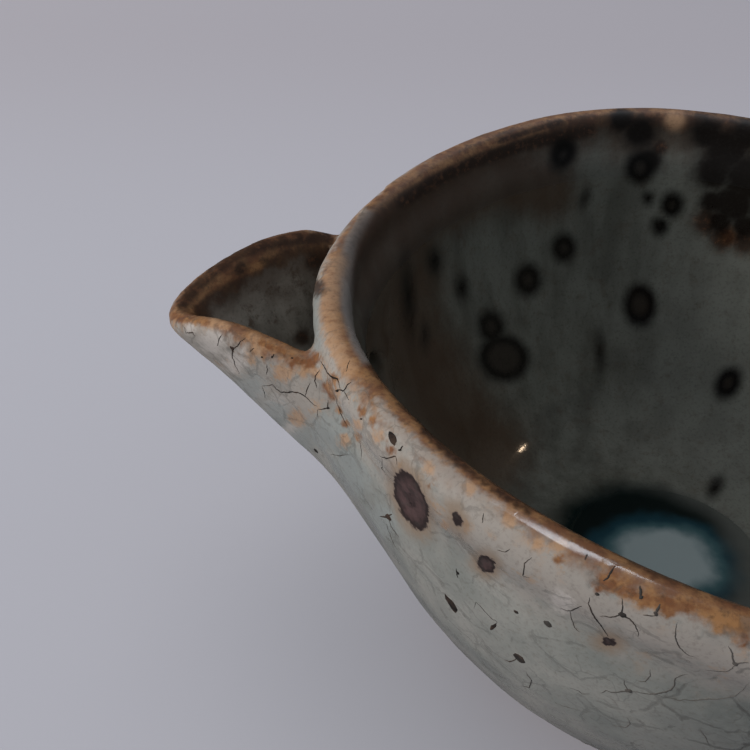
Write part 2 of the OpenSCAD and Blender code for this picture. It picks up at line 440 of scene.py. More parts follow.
WASHES = (
    *patches(Wash.CREAM, (215, 340, 12), (300, 395, 14), (285, 405, 14), (345, 402, 8), (405, 440, 8), (200, 330, 8),
             (228, 338, 7), (248, 346, 6), (420, 452, 7), (372, 430, 6), (292, 366, 4), (318, 392, 6), (392, 462, 8)),
    # painted reflection: along the inner bevel of the left rim this cream trail takes the grey of a painted sky
    # reflection
    *trail(Wash.CREAM, 8, (366, 214), (352, 240), (346, 268), (347, 304), (356, 338), (366, 356)),
    *trail(Wash.CREAM, 6, (378, 402), (388, 416), (412, 440), (440, 464), (470, 489), (502, 508)),
    *trail(Wash.CREAM, 14, (440, 470), (500, 532), (560, 588), (640, 626), (745, 666)),
    *patches(Wash.CHALK, (212, 342, 14), (190, 328, 7), (235, 362, 14), (252, 390, 16), (275, 408, 14), (290, 432, 14),
             (245, 352, 6), (562, 602, 14)),
    *patches(Wash.GREEN, (330, 430, 26), (345, 465, 20), (250, 388, 18), (275, 415, 18), (300, 440, 16), (352, 478, 22),
             (380, 520, 20)),
    *trail(Wash.GREEN, 5, (318, 292), (315, 318), (318, 348)),
    *patches(Wash.PEACH, (297, 418, 10), (345, 440, 8), (470, 488, 9), (510, 520, 10), (560, 545, 10), (445, 525, 6),
             (255, 350, 10), (215, 322, 8), (428, 470, 8), (357, 425, 7), (378, 436, 8), (283, 372, 11), (303, 372, 7),
             (675, 120, 11), (540, 545, 9)),
    *trail(Wash.AMBER, 5, (174, 316), (190, 319), (206, 322)),
    *trail(Wash.PEACH, 5, (206, 322), (226, 326)),
    *trail(Wash.PEACH, 6, (252, 338), (276, 350), (298, 360), (318, 374)),
    *trail(Wash.PEACH, 11, (338, 262), (332, 280), (329, 310), (335, 342), (348, 368)),
    *patches(Wash.AMBER, (291, 364, 5), (328, 388, 8), (334, 380, 7), (372, 420, 6), (358, 437, 5), (362, 412, 6),
             (390, 450, 6), (430, 485, 5), (668, 612, 9), (720, 626, 12), (742, 642, 8),
             (560, 560, 7), (332, 396, 6), (340, 410, 5), (346, 424, 5), (728, 236, 10), (600, 592, 6)),
    *trail(Wash.AMBER, 11, (604, 580), (640, 598), (690, 606), (745, 626)),
    *trail(Wash.AMBER, 5, (318, 356), (312, 364), (300, 362), (286, 353), (262, 342)),
    *trail(Wash.BURNT, 8, (182, 304), (196, 288), (215, 269), (240, 253), (270, 243), (300, 238), (326, 238)),
    *trail(Wash.AMBER, 6, (190, 300), (206, 289), (230, 275), (258, 265)),
    *trail(Wash.BURNT, 7, (402, 202), (432, 183), (472, 163), (522, 146), (590, 131)),
    *trail(Wash.AMBER, 5, (372, 206), (400, 187), (440, 166), (480, 149), (520, 134), (545, 126)),
    *trail(Wash.BURNT, 4, (500, 141), (530, 131), (560, 122)),
    *trail(Wash.BURNT, 3.6, (424, 430), (450, 456), (480, 480), (510, 500), (530, 512)),
    *patches(Wash.BURNT, (302, 338, 9), (318, 288, 10), (313, 262, 9), (240, 268, 9),
             (660, 148, 8), (706, 222, 15), (722, 238, 15), (745, 242, 15)),
    *trail(Wash.STAIN, 52, (392, 240), (402, 330), (440, 400), (480, 450)),
    *trail(Wash.STAIN, 34, (420, 215), (500, 180), (545, 190)),
    *patches(Wash.CHAR, (640, 132, 20), (622, 120, 15), (650, 160, 14), (563, 150, 12), (708, 134, 22), (726, 152, 32),
             (748, 178, 36), (714, 172, 24), (734, 204, 28), (712, 202, 15), (720, 222, 15), (744, 226, 16),
             (748, 134, 24)),
)


@dataclass(frozen=True)
class Crack:
    """Crack in the glaze, drawn as a line on the photograph, with its width in millimetres."""

    width: float
    line: tuple[Pixel, ...]


CRACKS = tuple(Crack(width, tuple(line)) for width, *line in (
    (0.34, (246, 338), (240, 342), (237, 346), (232, 350), (233, 358), (235, 366), (239, 374)),
    (0.55, (231, 347), (233, 350), (233, 352)),
    (0.24, (222, 334), (219, 341), (217, 346)),
    (0.30, (184, 327), (186, 333), (193, 332), (195, 337)),
    (0.22, (254, 348), (250, 352)),
    (0.34, (262, 386), (266, 386), (273, 385), (276, 389), (281, 392), (293, 392), (301, 394), (305, 396),
           (309, 400), (314, 405), (318, 407)),
    (0.24, (305, 396), (307, 390), (310, 383)),
    (0.20, (262, 386), (264, 392), (265, 398)),
    (0.32, (320, 370), (316, 375), (315, 381), (317, 388)),
    (0.42, (321, 361), (324, 366), (327, 373), (332, 377), (337, 379), (339, 384), (340, 389)),
    (0.34, (337, 390), (344, 391), (347, 386), (351, 382)),
    (0.22, (344, 391), (347, 396), (349, 400)),
    (0.28, (318, 409), (322, 409), (328, 408), (328, 400)),
    (0.18, (318, 409), (317, 417)),
    (0.22, (267, 364), (268, 369), (266, 375)),
    (0.34, (272, 357), (274, 354)),
    (0.30, (337, 395), (337, 403), (341, 414), (345, 422), (348, 428)),
    (0.20, (350, 360), (347, 366), (346, 372)),
    (0.34, (400, 450), (403, 446)),
    (0.26, (379, 455), (382, 457), (388, 459), (396, 457), (397, 465)),
    (0.20, (382, 457), (382, 468), (386, 475)),
    (0.36, (380, 516), (386, 517), (392, 514)),
    (0.30, (388, 517), (391, 525), (396, 533), (399, 538)),
    (0.22, (386, 523), (389, 532), (394, 545), (399, 551)),
    (0.18, (360, 440), (361, 452), (361, 460)),
    (0.16, (330, 454), (340, 456), (350, 455)),
    (0.18, (484, 513), (482, 523)),
    (0.18, (497, 550), (505, 552), (510, 549)),
    (0.24, (532, 557), (524, 563), (523, 576), (530, 578)),
    (0.28, (456, 568), (458, 578)),
    (0.18, (474, 609), (476, 602), (484, 610), (490, 617), (497, 622), (493, 627)),
    (0.36, (590, 597), (589, 603), (592, 613), (598, 622), (604, 630), (609, 637)),
    (0.30, (622, 598), (623, 606), (622, 615), (630, 619), (636, 626), (639, 633), (638, 637)),
    (0.26, (600, 616), (614, 617), (622, 615)),
    (0.44, (660, 604), (657, 611), (655, 616)),
    (0.24, (643, 615), (655, 616)),
    (0.28, (582, 606), (575, 609), (570, 611), (560, 609)),
    (0.22, (570, 611), (571, 618), (575, 627), (580, 632)),
    (0.22, (677, 622), (676, 630), (676, 638), (679, 648), (688, 655), (697, 658)),
    (0.32, (728, 646), (732, 653), (735, 664), (745, 662), (749, 663)),
    (0.24, (735, 664), (732, 669), (726, 671), (715, 671), (705, 670)),
    (0.30, (624, 680), (624, 684), (628, 691), (620, 692), (611, 692), (606, 690), (601, 693)),
    (0.28, (628, 691), (640, 693), (655, 694), (665, 692), (671, 690), (675, 685), (676, 678), (681, 676),
           (688, 674)),
    (0.24, (655, 694), (662, 697), (680, 700), (700, 700), (720, 699), (735, 696), (743, 690), (749, 683)),
    (0.20, (650, 670), (650, 676), (645, 681), (638, 681)),
    (0.20, (569, 688), (578, 690), (582, 694), (590, 694)),
    (0.24, (526, 672), (531, 681), (529, 688), (521, 686)),
    (0.18, (555, 702), (563, 706), (570, 708), (577, 710)),
    (0.20, (627, 717), (631, 724), (625, 728), (613, 725)),
    (0.18, (700, 730), (706, 738), (710, 746)),
    (0.28, (505, 660), (509, 662), (516, 659)),
    (0.32, (603, 581), (608, 578), (612, 570), (615, 566)),
    (0.30, (585, 560), (587, 554)),
    (0.40, (640, 586), (641, 597)),
))


@dataclass
class GlazedSkin:
    """Glazed bowl and spout: one skin fused from the CAD coats, warped as fired, then cut into its coats."""

    camera: PhotoCamera
    voxel: float = 0.78 * MM
    weld: float = 0.001 * MM
    melt: float = 0.5
    melt_rounds: int = 6
    spout_melt_rounds: int = 15
    spout_melt_span: Span = (1 * MM, 4 * MM)
    coat: float = 0.3 * MM
    glaze_foot_z: float = 9.7 * MM
    wall_mid: float = 54 * MM
    wall_deep: float = 9 * MM
    floor_z: float = 10 * MM
    floor_lean: float = -0.3
    lip_z: float = 66.5 * MM
    lip_turn: float = 12 * MM
    lip_span: Span = (-0.25, 0.35)
    lip_axis: float = 55.5 * MM
    lip_bead: float = 2.5 * MM
    joint_share: float = 0.7
    spout_root: float = 5.2 * MM
    spout_axis: float = 8 * MM
    spout_lip_z: float = 52 * MM
    spout_lip_lean: float = 0.86
    spout_span: Span = (4 * MM, 10 * MM)
    spout_tip: float = 78 * MM
    rim_z: float = 69 * MM
    rim_wave: float = 1.4 * MM
    wave_turns: int = 3
    wave_from: float = math.radians(-20)
    wave_low_z: float = 28 * MM
    tip_span: float = 9 * MM
    tip_droop: float = 0.5 * MM
    tip_stretch: float = 0.7 * MM
    far_droop: float = 0.8 * MM
    far_span: Span = (0, 12 * MM)
    droop_z: Span = (50 * MM, 62 * MM)
    droop_span: float = 6 * MM
    droop_share: float = 0.9
    lump: float = 0.14 * MM
    lump_size: float = 11 * MM
    lump_seed: float = 3.1
    ripple: float = 0.05 * MM
    ripple_size: float = 3.2 * MM
    ripple_seed: float = 7.7
    ripple_calm: float = 0.85
    throwing: float = 0.03 * MM
    throwing_pitch: float = 6.2 * MM
    throwing_tilt: float = 2 * MM
    throwing_low: Span = (14 * MM, 24 * MM)
    throwing_high: Span = (58 * MM, 64 * MM)
    no_spot: float = 4 * MM
    spot_reach: float = 3
    wash_reach: float = 2.5
    near_margin: float = 3 * MM
    near_lean: float = -0.1
    far_spots: tuple[tuple[bool, int], ...] = ((False, 34), (True, 14))
    far_spot_mm: Span = (0.9, 3.2)
    far_spot_share: Span = (0.45, 0.9)
    far_spot_slant: float = 0.4
    far_spot_margin: float = 5 * MM
    far_spot_lean: float = 0.2
    far_z: Span = (16 * MM, 62 * MM)
    far_lean: float = 0.3
    far_margin: float = 1 * MM
    seed: int = 5
    skin: Object = None
    tree: BVHTree = None
    hollow: np.ndarray = None
    points: np.ndarray = None
    normals: np.ndarray = None
    pieces: dict[Zone, Object] = field(default_factory=dict)

    def build(self) -> None:
        """Fuses, warps and marks the skin, and cuts it into its coats."""
        self.fuse()
        zones = self.zones()
        self.mark_lip()
        self.warp()
        self.mark_spots()
        self.mark_washes()
        self.keep_normals()
        for index, zone in enumerate(Zone):
            self.pieces[zone] = self.cut(zone, zones == index)

    def fuse(self) -> None:
        """Joins copies of the CAD clay and coats into one closed skin and melts its corners."""
        names = ("bowl", "spout", "spout_luting", *(n for zone in Zone for n in zone.value))
        parts = [copied(frame["nodes"][name], "skin_" + name) for name in names]
        pick(*parts)
        bpy.ops.object.join()
        self.skin = parts[0]
        with editing(self.skin):
            bpy.ops.mesh.select_all(action="SELECT")
            bpy.ops.mesh.remove_doubles(threshold=self.weld)
        remesh(self.skin, self.voxel)
        x, y, _ = rows(self.skin.data.vertices, "co").T
        weight = fade(*self.spout_melt_span, np.hypot(x, y) - self.wall_mid) * (x < 0)
        near_spout = self.skin.vertex_groups.new(name="spout")
        for index in np.nonzero(weight > 0)[0]:
            near_spout.add([int(index)], float(weight[index]), "REPLACE")
        apply_modifier(self.skin, "SMOOTH", factor=self.melt, iterations=self.spout_melt_rounds, vertex_group="spout")
        apply_modifier(self.skin, "SMOOTH", factor=self.melt, iterations=self.melt_rounds)

    def zones(self) -> np.ndarray:
        """Finds which coat each face of the skin belongs to.

        Returns:
            Index of the face's zone in Zone, or BARE where no coat lies.
        """
        centres = rows(self.skin.data.polygons, "center")
        trees = []
        for zone in Zone:
            corners, faces = [], []
            for name in zone.value:
                node = frame["nodes"][name].data
                base = len(corners)
                corners += [v.co.copy() for v in node.vertices]
                faces += [[base + i for i in p.vertices] for p in node.polygons]
            trees.append(BVHTree.FromPolygons(corners, faces))
        reach = np.array([[tree.find_nearest(Vector(c))[3] for tree in trees] for c in centres])
        nearest = reach.argmin(axis=1)
        nearest[(centres[:, 2] < self.glaze_foot_z) | self.bubbles(centres)] = BARE
        return nearest

    def bubbles(self, centres: np.ndarray) -> np.ndarray:
        """Finds the faces of closed bubbles inside the clay, which no coat takes.

        Args:
            centres: Middle of each face of the skin.

        Returns:
            True for each face that isn't joined to the top of the lip.
        """
        mesh = self.skin.data
        with editing(self.skin):
            bpy.ops.mesh.select_mode(type="FACE")
            bpy.ops.mesh.select_all(action="DESELECT")
        mesh.polygons[int(centres[:, 2].argmax())].select = True
        with editing(self.skin):
            bpy.ops.mesh.select_linked()
        joined = np.empty(len(mesh.polygons), bool)
        mesh.polygons.foreach_get("select", joined)
        with editing(self.skin):
            bpy.ops.mesh.select_all(action="DESELECT")
        return ~joined

    def mark_lip(self) -> None:
        """Stores how far each point lies from the crest of a lip, and whether it is inside."""
        mesh = self.skin.data
        points, normals = surface(mesh)
        x, y, z = points.T
        radius = np.hypot(x, y)
        bead = np.arctan2(radius - self.lip_axis, np.maximum(z - self.lip_z, TINY)) * self.lip_bead
        inward = -(normals[:, 0] * x + normals[:, 1] * y) / np.maximum(radius, TINY)
        turned = np.where(z > self.lip_z - self.lip_turn, inward, np.where(inward > 0, 1, -1))
        floor = (z > self.floor_z) & (normals[:, 2] > self.floor_lean)
        inside = np.where(radius < self.wall_mid - self.wall_deep, floor, fade(*self.lip_span, turned))
        below = self.lip_bead * math.pi / 2 + self.lip_z - z
        along = np.where(z > self.lip_z, bead, np.where(inside > 0.5, -below, below))
        beyond = (radius > self.wall_mid + self.spout_root) & (x < 0)
        crest = np.nonzero(beyond & (normals[:, 2] > self.spout_lip_lean) & (z > self.spout_lip_z))[0]
        tree = KDTree(len(crest))
        for index in crest:
            tree.insert(Vector(points[index]), int(index))
        tree.balance()
        to_axis = -normals[:, 0] * (self.lip_axis + self.spout_axis + x) - normals[:, 1] * y
        for index in np.nonzero(beyond)[0]:
            reach = tree.find(Vector(points[index]))[2]
            inside[index] = to_axis[index] > 0
            along[index] = -reach if inside[index] else reach
        joint = ~beyond & (x < -self.joint_share * self.lip_axis) & (radius > self.wall_mid) & (inside < 0.5)
        for index in np.nonzero(joint)[0]:
            along[index] = min(along[index], tree.find(Vector(points[index]))[2], key=abs)
        self.hollow = inside
        put_values(mesh, "lip", along / MM)
        put_values(mesh, "inside", inside)

    def warp(self) -> None:
        """Bends the rim into the wave it fired to, and adds throwing rings and glaze lumps."""
        mesh = self.skin.data
        points, normals = surface(mesh)
        x, y, z = points.T
        radius, angle = np.hypot(x, y), np.arctan2(y, x)
        past_wall = radius - self.wall_mid
        spout = fade(*self.spout_span, past_wall) * (x < 0)
        wave = self.rim_wave * np.cos(self.wave_turns * (angle - self.wave_from))
        lift = wave * fade(self.wave_low_z, self.rim_z, z) * (1 - spout)
        rings = np.sin(2 * math.pi * (z + self.throwing_tilt * np.sin(angle)) / self.throwing_pitch)
        rings *= self.throwing * fade(*self.throwing_low, z) * (1 - fade(*self.throwing_high, z)) * (1 - spout)
        ripple = self.ripple * (1 - self.ripple_calm * self.hollow)
        lumps = self.lump * noise_at(points, self.lump_size, self.lump_seed)
        lumps += ripple * noise_at(points, self.ripple_size, self.ripple_seed)
        reach = fade(self.spout_tip - self.tip_span, self.spout_tip, -x) * spout
        droop = self.far_droop * fade(*self.far_span, y) * fade(*self.droop_z, z) + self.tip_droop * reach
        droop *= (x < -self.lip_axis * self.droop_share) * fade(0, self.droop_span, past_wall)
        points[:, 2] += lift - droop
        points[:, 0] -= self.tip_stretch * reach
        put_points(mesh, points + normals * (rings + lumps)[:, None])

    def mark_spots(self) -> None:
        """Stores how far each point lies outside the nearest iron spot, negative within it."""
        self.points, self.normals = surface(self.skin.data)
        self.tree = BVHTree.FromObject(self.skin, bpy.context.evaluated_depsgraph_get())
        pixels = self.camera.pixels(self.points)
        edge = np.full(len(pixels), self.no_spot)
        for spot in OUTSIDE_SPOTS + INSIDE_SPOTS:
            hit, facing = self.seen(spot.at)
            size = self.camera.pixel_size(hit)
            turn = math.radians(spot.turn)
            axes = np.array(((math.cos(turn), -math.sin(turn)), (math.sin(turn), math.cos(turn))))
            local = (pixels - np.array(spot.at)) @ axes / np.array((spot.long, spot.wide))
            out = (np.linalg.norm(local, axis=1) - 1) * spot.wide * size
            near = self.around(hit, facing, self.spot_reach * spot.long * size)
            edge[near] = np.minimum(edge[near], out[near])
        chance = Random(self.seed)
        for inside, count in self.far_spots:
            for index in self.unseen(chance, inside, count):
                self.draw_spot(edge, index, chance)
        put_values(self.skin.data, "spot", edge / MM)

    def around(self, hit: Vector, facing: Vector, reach: float) -> np.ndarray:
        """True for each point near a place on the skin and on its side of the wall."""
        near = np.linalg.norm(self.points - np.array(hit), axis=1) < reach + self.near_margin
        return near & (self.normals @ np.array(facing) > self.near_lean)

    def draw_spot(self, edge: np.ndarray, index: int, chance: Random) -> None:
        """Lowers the stored edge distance around one more spot, run a little down the wall.

        Args:
            edge: Distances to lower, one for each point.
            index: Point at the spot's centre.
            chance: Source of its size.
        """
        facing = self.normals[index]
        slant = chance.uniform(-self.far_spot_slant, self.far_spot_slant)
        down = np.cross(np.cross(facing, (slant, 0.0, -1.0)), facing)
        down /= max(np.linalg.norm(down), TINY)
        long = chance.uniform(*self.far_spot_mm) * MM
        wide = long * chance.uniform(*self.far_spot_share)
        axes = np.column_stack((down / long, np.cross(facing, down) / wide))
        away = self.points - self.points[index]
        near = np.linalg.norm(away, axis=1) < long + self.far_spot_margin
        near &= self.normals @ facing > self.far_spot_lean
        edge[near] = np.minimum(edge[near], (np.linalg.norm(away[near] @ axes, axis=1) - 1) * wide)

    def unseen(self, chance: Random, inside: bool, count: int) -> list[int]:
        """Picks points of the wall that the photograph doesn't show.

        Args:
            chance: Source of the picks.
            inside: Whether to pick inside the bowl.
            count: How many to pick.

        Returns:
            Indices of the picked points.
        """
        x, y, z = self.points.T
        radius = np.hypot(x, y)
        inward = -(self.normals[:, 0] * x + self.normals[:, 1] * y) / radius
        wall = (z > self.far_z[0]) & (z < self.far_z[1]) & (radius < self.lip_axis + self.far_margin)
        wall &= (inward > self.far_lean) if inside else (inward < -self.far_lean)
        choice = np.nonzero(wall)[0]
        framed = np.all(np.abs(self.camera.pixels(self.points[choice]) / self.camera.side_px - 0.5) < 0.5, axis=1)
        eye = Vector(self.camera.place)
        picked = []
        while len(picked) < count:
            turn = chance.randrange(len(choice))
            at = Vector(self.points[choice[turn]])
            hit = self.tree.ray_cast(eye, (at - eye).normalized())[0]
            if framed[turn] and hit is not None and (hit - at).length < self.far_margin:
                continue
            picked.append(int(choice[turn]))
        return picked

    def mark_washes(self) -> None:
        """Stores how strongly each wash lies at each point."""
        pixels = self.camera.pixels(self.points)
        levels = {wash: np.zeros(len(pixels)) for wash in Wash}
        for patch in WASHES:
            hit, facing = self.seen(patch.at)
            off = np.linalg.norm(pixels - np.array(patch.at), axis=1) / patch.radius
            near = self.around(hit, facing, self.wash_reach * patch.radius * self.camera.pixel_size(hit))
            levels[patch.wash] = np.maximum(levels[patch.wash], np.exp(-off ** 2) * near)
        for wash, level in levels.items():
            put_values(self.skin.data, wash.value, level)

    def seen(self, pixel: Pixel) -> Step:
        """Point and normal of the skin that a pixel of the photograph shows."""
        return self.tree.ray_cast(Vector(self.camera.place), self.camera.ray(pixel))[:2]

    def mirrored(self, pixel: Pixel, away: float) -> Vector:
        """Finds the place that the skin mirrors to the camera at a pixel of the photograph.

        Args:
            pixel: Column and row in the photograph.
            away: Distance of the mirrored place from the skin.

        Returns:
            The place, in the part's frame.
        """
        ray = self.camera.ray(pixel)
        hit, _, face, _ = self.tree.ray_cast(Vector(self.camera.place), ray)
        mesh = self.skin.data
        facing = sum((mesh.vertices[i].normal for i in mesh.polygons[face].vertices), Vector()).normalized()
        return hit + ray.reflect(facing) * away

    def on_plane(self, at: Vector, facing: Vector, pixel: Pixel) -> Vector:
        """Point that a pixel shows on the plane touching the skin at a place."""
        eye, ray = Vector(self.camera.place), self.camera.ray(pixel)
        return eye + ray * ((at - eye).dot(facing) / ray.dot(facing))

    def keep_normals(self) -> None:
        """Stores the whole skin's normals, so that its coats shade as one surface."""
        layer = self.skin.data.attributes.new("skin_normal", "FLOAT_VECTOR", "POINT")
        layer.data.foreach_set("vector", self.normals.astype(np.float32).ravel())

    def cut(self, zone: Zone, faces: np.ndarray) -> Object:
        """Cuts one coat out of the skin and gives it its thickness.

        Args:
            zone: The coat's zone.
            faces: True for each face of the skin in that zone.

        Returns:
            The closed coat.
        """
        coat = copied(self.skin, zone.name.lower() + "_coat")
        coat.data.polygons.foreach_set("select", ~faces)
        with editing(coat):
            bpy.ops.mesh.select_mode(type="FACE")
            bpy.ops.mesh.delete(type="FACE")
        count = len(coat.data.vertices)
        apply_modifier(coat, "SOLIDIFY", thickness=self.coat, offset=-1)
        normals = rows(coat.data.attributes["skin_normal"].data, "vector")
        normals[count:] *= -1
        shade_smooth(coat)
        coat.data.normals_split_custom_set_from_vertices(normals)
        coat.data.attributes.remove(coat.data.attributes["skin_normal"])
        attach(coat, BODY)
        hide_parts(*zone.value)
        return coat


@dataclass
class ClayBody:
    """Clay under the glaze: bare at the base, and hidden under the coats elsewhere."""

    skin: Object
    voxel: float = 1.0 * MM
    sink: float = 0.35 * MM
    glazed_from: Span = (9.6 * MM, 10.6 * MM)
    piece: Object = None

    def build(self) -> None:
        """Sinks a coarser copy of the skin under the coats."""
        self.piece = copied(self.skin, "clay_body")
        remesh(self.piece, self.voxel)
        points, normals = surface(self.piece.data)
        sunk = fade(*self.glazed_from, points[:, 2]) * self.sink
        put_points(self.piece.data, points - normals * sunk[:, None])
        shade_smooth(self.piece)
        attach(self.piece, BODY)
        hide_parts("bowl", "spout", "spout_luting")


@dataclass
class WornPiece:
    """CAD piece with its edges worn round and its faces gently uneven."""

    node: str
    name: str
    slot: str
    voxel: float = 0.5 * MM
    wear: float = 0.5
    rounds: int = 6
    lump: float = 0.06 * MM
    lump_size: float = 2.6 * MM
    lump_seed: float = 1.9
    piece: Object = None

    def build(self) -> None:
        """Wears a copy of the CAD piece."""
        self.piece = copied(frame["nodes"][self.node], self.name)
        remesh(self.piece, self.voxel)
        apply_modifier(self.piece, "SMOOTH", factor=self.wear, iterations=self.rounds)
        points, normals = surface(self.piece.data)
        lumps = self.lump * noise_at(points, self.lump_size, self.lump_seed)
        put_points(self.piece.data, self.settled(points + normals * lumps[:, None]))
        shade_smooth(self.piece)
        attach(self.piece, BODY)
        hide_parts(self.node)

    def settled(self, points: np.ndarray) -> np.ndarray:
        """Places of the worn points, none of them below the floor."""
        points[:, 2] = np.maximum(points[:, 2], 0)
        return points


@dataclass
class GlassPool(WornPiece):
    """Glass gathered in the well, level up to the slope that holds it."""

    rise: float = 0.5 * MM
    creep: float = 1.6 * MM
    creep_from: float = 0.8

    def settled(self, points: np.ndarray) -> np.ndarray:
        """Raises the glass and lets its edge run into the slope.

        Args:
            points: Places of the worn points.

        Returns:
            Their places once the glass has set.
        """
        radius = np.hypot(points[:, 0], points[:, 1])
        edge = fade(self.creep_from * radius.max(), radius.max(), radius)
        points[:, :2] *= 1 + (self.creep * edge / np.maximum(radius, 1 * MM))[:, None]
        points[:, 2] += self.rise
        return points


@dataclass
class Crazing:
    """Open cracks and pits of the pale glaze: dark threads and discs let into its surface."""

    glazed: GlazedSkin
    step_px: float = 1.5
    wander_px: float = 0.22
    wander_hold: float = 0.75
    width_share: float = 0.72
    width_spread: Span = (0.75, 1.15)
    taper: float = 0.6
    taper_ends: Span = (0.6, 0.2)
    widening: float = 0.7
    widening_span: Span = (-15 * MM, 20 * MM)
    thread: float = 0.1 * MM
    sink: float = 0.5
    far_cracks: int = 130
    far_width: Span = (0.14, 0.36)
    far_steps: tuple[int, int] = (8, 34)
    stride: float = 0.35 * MM
    bend: float = 0.22
    bend_hold: float = 0.6
    kink: float = 0.8
    kink_chance: float = 0.06
    far_pits: int = 26
    far_pit_mm: Span = (0.25, 0.9)
    far_pit_share: Span = (0.4, 0.9)
    pit_depth: float = 0.16 * MM
    pit_sink: float = 0.45
    pit_rings: tuple[int, int] = (18, 8)
    pit_lumps: tuple[Span, ...] = ((0.3, 1.4), (0.08, 4))
    seed: int = 11
    piece: Object = None

    def build(self) -> None:
        """Draws the cracks as one set of threads and sets the pits among them."""
        chance = Random(self.seed)
        threads = bpy.data.curves.new("crazing", "CURVE")
        threads.dimensions = "3D"
        threads.bevel_depth = self.thread
        threads.bevel_resolution = 1
        threads.use_fill_caps = True
        for crack in CRACKS:
            self.thread_along(threads, self.traced(crack, chance), crack.width, chance)
        for index in self.glazed.unseen(chance, False, self.far_cracks):
            width = chance.uniform(*self.far_width)
            self.thread_along(threads, self.wandered(Vector(self.glazed.points[index]), chance), width, chance)
        self.piece = linked("crazing", threads)
        pick(self.piece)
        bpy.ops.object.convert(target="MESH")
        discs = [self.photo_pit(pit) for pit in PITS]
        for index in self.glazed.unseen(chance, False, self.far_pits):
            long = chance.uniform(*self.far_pit_mm) * MM
            wide = long * chance.uniform(*self.far_pit_share)
            at, facing = Vector(self.glazed.points[index]), Vector(self.glazed.normals[index])
            discs.append(self.disc(at, facing, Vector((0, 0, 1)), long, wide))
        pick(self.piece, *discs)
        bpy.ops.object.join()
        shade_smooth(self.piece)
        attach(self.piece, BODY)

    def traced(self, crack: Crack, chance: Random) -> list[Step]:
        """Follows a crack that the photograph shows.

        Args:
            crack: The crack's line in the photograph.
            chance: Source of the line's small wander.

        Returns:
            Place and normal of each step on the skin.
        """
        route = []
        drift = [0.0, 0.0]
        for start, end in zip(crack.line, crack.line[1:]):
            steps = max(1, round(math.dist(start, end) / self.step_px))
            for step in range(steps):
                drift = [self.wander_hold * d + chance.gauss(0, self.wander_px) for d in drift]
                route.append([a + (b - a) * (step / steps) + d for a, b, d in zip(start, end, drift)])
        route.append(crack.line[-1])
        return [spot for spot in (self.glazed.seen(pixel) for pixel in route) if spot[0] is not None]

    def wandered(self, start: Vector, chance: Random) -> list[Step]:
        """Lets a crack wander over the skin from a point.

        Args:
            start: Where the crack starts.
            chance: Source of its turns.

        Returns:
            Place and normal of each step on the skin.
        """
        at, facing, _, _ = self.glazed.tree.find_nearest(start)
        heading = facing.orthogonal().normalized()
        heading.rotate(Quaternion(facing, chance.uniform(0, 2 * math.pi)))
        route = [(at, facing)]
        bend = 0.0
        for _ in range(chance.randint(*self.far_steps)):
            bend = self.bend_hold * bend + chance.gauss(0, self.bend)
            if chance.random() < self.kink_chance:
                bend += chance.choice((-1, 1)) * self.kink
            heading.rotate(Quaternion(facing, bend))
            at, facing, _, _ = self.glazed.tree.find_nearest(at + heading * self.stride)
            heading = (heading - facing * heading.dot(facing)).normalized()
            route.append((at, facing))
        return route

    def thread_along(self, threads: Curve, route: list[Step], width: float, chance: Random) -> None:
        """Adds one thread that thins towards its ends.

        Args:
            threads: Curve that takes the thread.
            route: Place and normal of each step.
            width: Greatest width in millimetres.
            chance: Source of its uneven width.
        """
        spline = threads.splines.new("POLY")
        spline.points.add(len(route) - 1)
        before, beside = self.taper_ends
        for step, (point, (at, facing)) in enumerate(zip(spline.points, route)):
            swell = math.sin(math.pi * (step + before) / (len(route) + beside)) ** self.taper
            half = 0.5 * width * self.width_share * MM * swell * chance.uniform(*self.width_spread)
            half *= 1 + self.widening * float(fade(*self.widening_span, np.array(at.x)))
            point.co = (*(at - facing * half * self.sink), 1)
            point.radius = half / self.thread

    def photo_pit(self, pit: Ellipse) -> Object:
        """Sets a disc at a pit that the photograph shows.

        Args:
            pit: The pit's outline in the photograph.

        Returns:
            The disc.
        """
        at, facing = self.glazed.seen(pit.at)
        turn = math.radians(pit.turn)
        ends = []
        for reach, lean in ((pit.long, turn), (pit.wide, turn + math.pi / 2)):
            pixel = (pit.at[0] + reach * math.cos(lean), pit.at[1] + reach * math.sin(lean))
            ends.append(self.glazed.on_plane(at, facing, pixel) - at)
        return self.disc(at, facing, ends[0], ends[0].length, ends[1].length)

    def disc(self, at: Vector, facing: Vector, along: Vector, long: float, wide: float) -> Object:
        """Makes a flat-domed disc on the skin.

        Args:
            at: Its centre.
            facing: Normal of the skin there.
            along: Direction of its long axis.
            long: Half its length.
            wide: Half its width.

        Returns:
            The disc, with its place in its mesh.
        """
        across = facing.cross(along).normalized()
        turn = Matrix((across.cross(facing), across, facing)).transposed().to_4x4()
        size = Matrix.Diagonal((long, wide, self.pit_depth, 1))
        segments, rings = self.pit_rings
        bpy.ops.mesh.primitive_uv_sphere_add(segments=segments, ring_count=rings)
        disc = bpy.context.object
        shift = at / MM
        for vertex in disc.data.vertices:
            lumps = (lump * noise.noise(vertex.co * often + shift) for lump, often in self.pit_lumps)
            vertex.co *= sum(lumps, 1)
        disc.data.transform(Matrix.Translation(at - facing * self.pit_depth * self.pit_sink) @ turn @ size)
        disc.matrix_world = Matrix()
        return disc


@dataclass(frozen=True)
class Cloud:
    """Patches stepped out of noise: its size in millimetres, detail and roughness, the step's span and its height."""

    grain: Grain
    span: Span
    most: float = 1.0


